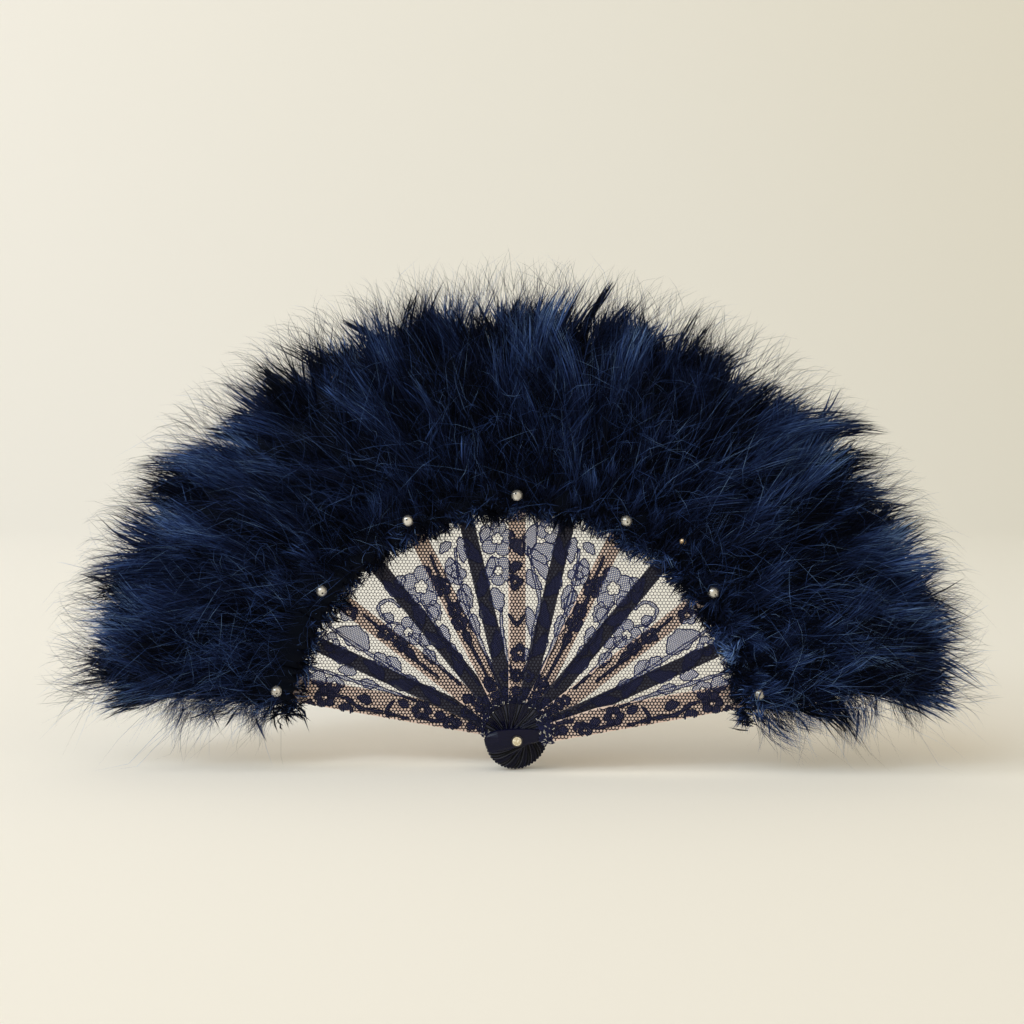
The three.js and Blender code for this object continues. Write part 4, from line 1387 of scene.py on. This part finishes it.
# %% Feather finish
PARTING = (3.2, 0.05, 1.0)
plume_finish, shader, node = start_finish(
    "navy_marabou", Roughness=0.6, Specular_IOR_Level=0.12,
    Specular_Tint=light_values((150, 185, 235)))
dye = node("Attribute", attribute_name="shade").outputs["Fac"]
place = node("Attribute", attribute_name="comb").outputs["Vector"]
drawn = node("VectorMath", {0: place, 1: PARTING}, operation="MULTIPLY").outputs[0]
streak = node("TexNoise", {"Vector": drawn, "Scale": 1.0, "Detail": 2.0, "Roughness": 0.6})
parted = node("MapRange", {"Value": streak.outputs["Fac"], "From Min": 0.3, "From Max": 0.7,
                           "To Min": 0.45, "To Max": 1.5})
mixed = node("Math", {0: dye, 1: parted.outputs["Result"]}, operation="MULTIPLY").outputs[0]
tint(node, mixed, [(0.0, (4, 4, 9)), (0.18, (11, 13, 27)), (0.4, (29, 40, 76)),
                   (0.68, (70, 98, 160)), (1.0, (144, 180, 228))], shader)
print("feather finish:", plume_finish.name)


# %% [markdown]
# ## Gathering one stick's strands
# All strands of a stick end up in one mesh. Until then their arrays are kept in a small class, with
# the stick's random numbers and its painted light: sticks to the right and towards the guards are
# painted lighter, to even out how the light falls across the band. A tuft is combed twice with the
# same random numbers: once for a few wide locks, and once for many fine barbs that lie just over
# them. So the barbs follow the body that the locks give, and stay a few hundredths longer.

# %% A plume in the making
LOCK_WIDE, LOCK_HIGH, LOCK_KEPT = 0.6, 0.2, 0.96
BARB_WIDE, BARB_OVER = 0.11, 0.5
STRAND_SIZES = (0.7, 1.25)
FRINGE_TUFTS, FRINGE_LOCKS, FRINGE_BARBS = 16, 23, 38
DOWN_LOCK_WIDE, DOWN_LOCK_HIGH, DOWN_WIDE = 0.5, 0.16, 0.09
# painted light: the feathers' lightness at the middle stick, and what each step to the right and
# outwards adds, to even out how the light falls across the band
PAINTED_LIGHT_MIDDLE, PAINTED_LIGHT_RIGHT, PAINTED_LIGHT_OUTWARD = 0.94, 0.014, 0.006


class Plume:
    """The strands of one stick, kept as arrays until they become a mesh."""

    def __init__(self, n):
        self.n = n
        self.rng = np.random.default_rng(100 + n)
        self.painted_light = PAINTED_LIGHT_MIDDLE + PAINTED_LIGHT_RIGHT * (n - MIDDLE) + PAINTED_LIGHT_OUTWARD * (n - MIDDLE) ** 2
        self.outward = {1: 1, STICKS: -1}.get(n, 0)
        self.parts = []
        self.shades = []

    def keep(self, lines, shade, wide, high, taper=BARB_TAPER):
        size = self.rng.uniform(*STRAND_SIZES, len(lines))
        lines = within_band(lines, middle_of(self.n))
        self.parts.append(spikes(lines, wide * size, high * size, taper))
        corners = [CORNERS] * (lines.shape[1] - 1) + [1]
        self.shades.append(self.painted_light * np.repeat(shade, corners, axis=1).ravel())

    def tie_tufts(self, side, tufts, locks, barbs, *tier, **settings):
        state = self.rng.bit_generator.state
        lines, shade = comb_tufts(
            self.rng, self.n, side, tufts, locks, *tier, kept=LOCK_KEPT, **settings)
        self.keep(lines, shade * 0.85, LOCK_WIDE, LOCK_HIGH, LOCK_TAPER)
        after = self.rng.bit_generator.state
        self.rng.bit_generator.state = state
        lines, shade = comb_tufts(self.rng, self.n, side, tufts, barbs, *tier, **settings)
        lines[..., 2] += side * BARB_OVER
        self.keep(lines, np.clip(shade * 1.15 + 0.03, 0, 1), BARB_WIDE, BARB_WIDE)
        self.rng.bit_generator.state = after

    def tie_fringe(self):
        state = self.rng.bit_generator.state
        lines, shade = fringe(self.rng, self.n, FRINGE_TUFTS, FRINGE_LOCKS)
        self.keep(lines, shade * 0.8, DOWN_LOCK_WIDE, DOWN_LOCK_HIGH, LOCK_TAPER)
        self.rng.bit_generator.state = state
        lines, shade = fringe(self.rng, self.n, FRINGE_TUFTS, FRINGE_BARBS)
        self.keep(lines, shade, DOWN_WIDE, DOWN_WIDE)

    def scatter_barbs(self, count, reach, long, side, bright, size=0.1, foot=0.35, **settings):
        """Single barbs with their brightness drawn from a beta distribution, painted darker towards the
        foot as painted shade.
        """
        lines = loose_barbs(self.rng, self.n, count, reach, long, side, **settings)
        rise = foot + (1 - foot) * np.linspace(0, 1, lines.shape[1])
        self.keep(lines, self.rng.beta(*bright, count)[:, None] * rise, size, size)


# %% [markdown]
# ## What is tied to each stick
# Every stick gets its tiers, its covers, the fringe and loose barbs. Three sticks have a stiff
# feather tip that stands out of the rim. The two guards carry less on their outer half, where the
# band ends: there thin tufts and loose barbs droop off the edge instead.

# %% Tie a stick's feathers
TIER_SPREAD, TIER_WILD = 17.5, 0.42
GUARD_SPREAD, GUARD_WILD, GUARD_LEAN = 11, 0.2, 0.1
GUARD_SHIFT, GUARD_BACK_SHIFT = -6, -2
# count, reach of the roots, length, side, brightness, and what differs from an ordinary loose barb
LOOSE = [
    (260, (124, 226), (16, 40), -1, (3, 1.5), dict(size=0.09)),
    (80, (124, 226), (16, 40), 1, (3, 1.5), dict(size=0.09)),
    (90, (122, 185), (10, 26), -1, (3.5, 1.2), dict(size=0.11, foot=0.5, swing=0.8, curl=0.6)),
    # the next two rows are thin barbs at the rim, painted darker as painted shade against the light
    (120, (210, 238), (12, 30), -1, (1.6, 3), dict(swing=0.3, level=0.5, curl=0.2)),
    (120, (210, 238), (12, 30), -1, (1.6, 3), dict(swing=0.3, level=-0.5, curl=0.2)),
]
# base reach, reach at the tip, place across and lean of each stiff tip, by its stick
STIFF_TIPS = {4: (198, 242, -12, -0.2), 6: (207, 252, 8, 0.84), 8: (201, 252, 20, -0.24)}
# what droops off a guard's outer edge: base reaches of its tufts, and reaches of its loose barbs
END_REACHES = (128, 142, 156, 170, 186, 202)
END_BARBS = ((123, 160), (150, 190), (180, 228))
END_LEAN, END_SHIFT = 0.95, 4


def tie_ends(plume):
    """The thin tufts and loose barbs that droop off a guard's outer edge."""
    lean, shift = plume.outward * END_LEAN, plume.outward * END_SHIFT
    for reach in END_REACHES:
        for side in (-1, 1):
            plume.tie_tufts(side, 2, 1, 70, (reach - 5, reach + 5), (reach + 17, reach + 34),
                            (0.3, 0.6), 7, spread=2, lean=lean, shift=shift, dark=0.1, fray=4,
                            wild=0.3)
    for reach in END_BARBS:
        plume.scatter_barbs(90, reach, (12, 34), -1, (2, 2.2), swing=0.32, shift=shift, drop=lean,
                            level=0.4, curl=0.35, width=0.42)


def tie_plume(n):
    plume = Plume(n)
    outward = plume.outward
    spread, wild = (GUARD_SPREAD, GUARD_WILD) if outward else (TIER_SPREAD, TIER_WILD)
    lean = plume.rng.normal(0, 0.05) - GUARD_LEAN * outward
    for tier in TIERS:
        shift = outward * (GUARD_SHIFT if tier[0] < 0 else GUARD_BACK_SHIFT)
        plume.tie_tufts(*tier, spread=spread, lean=lean, shift=shift, wild=wild)
    for cover in COVERS:
        plume.tie_tufts(*cover, spread=4, wild=0.2)
    plume.tie_fringe()
    for *barbs, settings in LOOSE:
        plume.scatter_barbs(*barbs, **settings)
    if n in STIFF_TIPS:
        base, tip, across, tip_lean = STIFF_TIPS[n]
        plume.tie_tufts(-1, 1, 22, 30, (base, base + 1), (tip, tip + 1), (0.4, 0.5), 1.7,
                        spread=0.1, lean=tip_lean, shift=across, dark=1, fray=0.3, wild=0.03)
    if outward:
        tie_ends(plume)
    return plume


# %% [markdown]
# ## One mesh for each stick
# The strands and the heart of a plume are joined, turned to the stick's heading and lifted where
# they would touch the floor.

# %% Marabou of all sticks
# height over the floor where strands begin to be lifted, and the most that they still sink
FLOOR_ROOM, FLOOR_EASE = 6, 4.5


def marabou_mesh(plume):
    """One object with all strands of a stick and its heart, and the number of strands."""
    strands = sum(len(part[2]) for part in plume.parts) // (CORNERS + 1)
    core = heart(plume.n)
    points, quads, tris, comb = zip(*plume.parts, core)
    shades = plume.shades + [np.full(len(core[0]), HEART_SHADE)]
    starts = np.cumsum([0] + [len(part) for part in points[:-1]])
    along, left, depth = np.vstack(points).T
    x, z = from_stick(plume.n, along, left)
    low = FLOOR + FLOOR_ROOM
    z = np.where(z < low, low - FLOOR_EASE * (1 - np.exp((z - low) / FLOOR_EASE)), z)
    made = mesh_from(f"marabou_{plume.n:02d}", np.stack([x, depth, z], 1),
                     np.vstack([faces + start for faces, start in zip(quads, starts)]),
                     np.vstack([faces + start for faces, start in zip(tris, starts)]))
    made.data.polygons.foreach_set("use_smooth", np.ones(len(made.data.polygons), bool))
    tag_points(made, "shade", np.concatenate(shades))
    tag_points(made, "comb", np.vstack(comb))
    return made, strands


total = 0
for n in range(1, STICKS + 1):
    marabou, strand_count = marabou_mesh(tie_plume(n))
    total += strand_count
    wear_finish(marabou, plume_finish)
    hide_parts(f"plume_{n:02d}")
    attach(marabou, bodies[n - 1])
    turn = heading(n)
    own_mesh(marabou)
print("locks and barbs:", total)

# %% [markdown]
# At the end the pieces that render and their triangles are counted. The visual model has to stay
# in the imported model's box, apart from a little that soft parts may stand proud.

# %% Sizes and the end
shown = [o for o in bpy.context.scene.objects if o.type == "MESH" and not o.hide_render]
triangles = sum(len(face.vertices) - 2 for o in shown for face in o.data.polygons)
print("pieces:", len(shown), "triangles:", triangles)
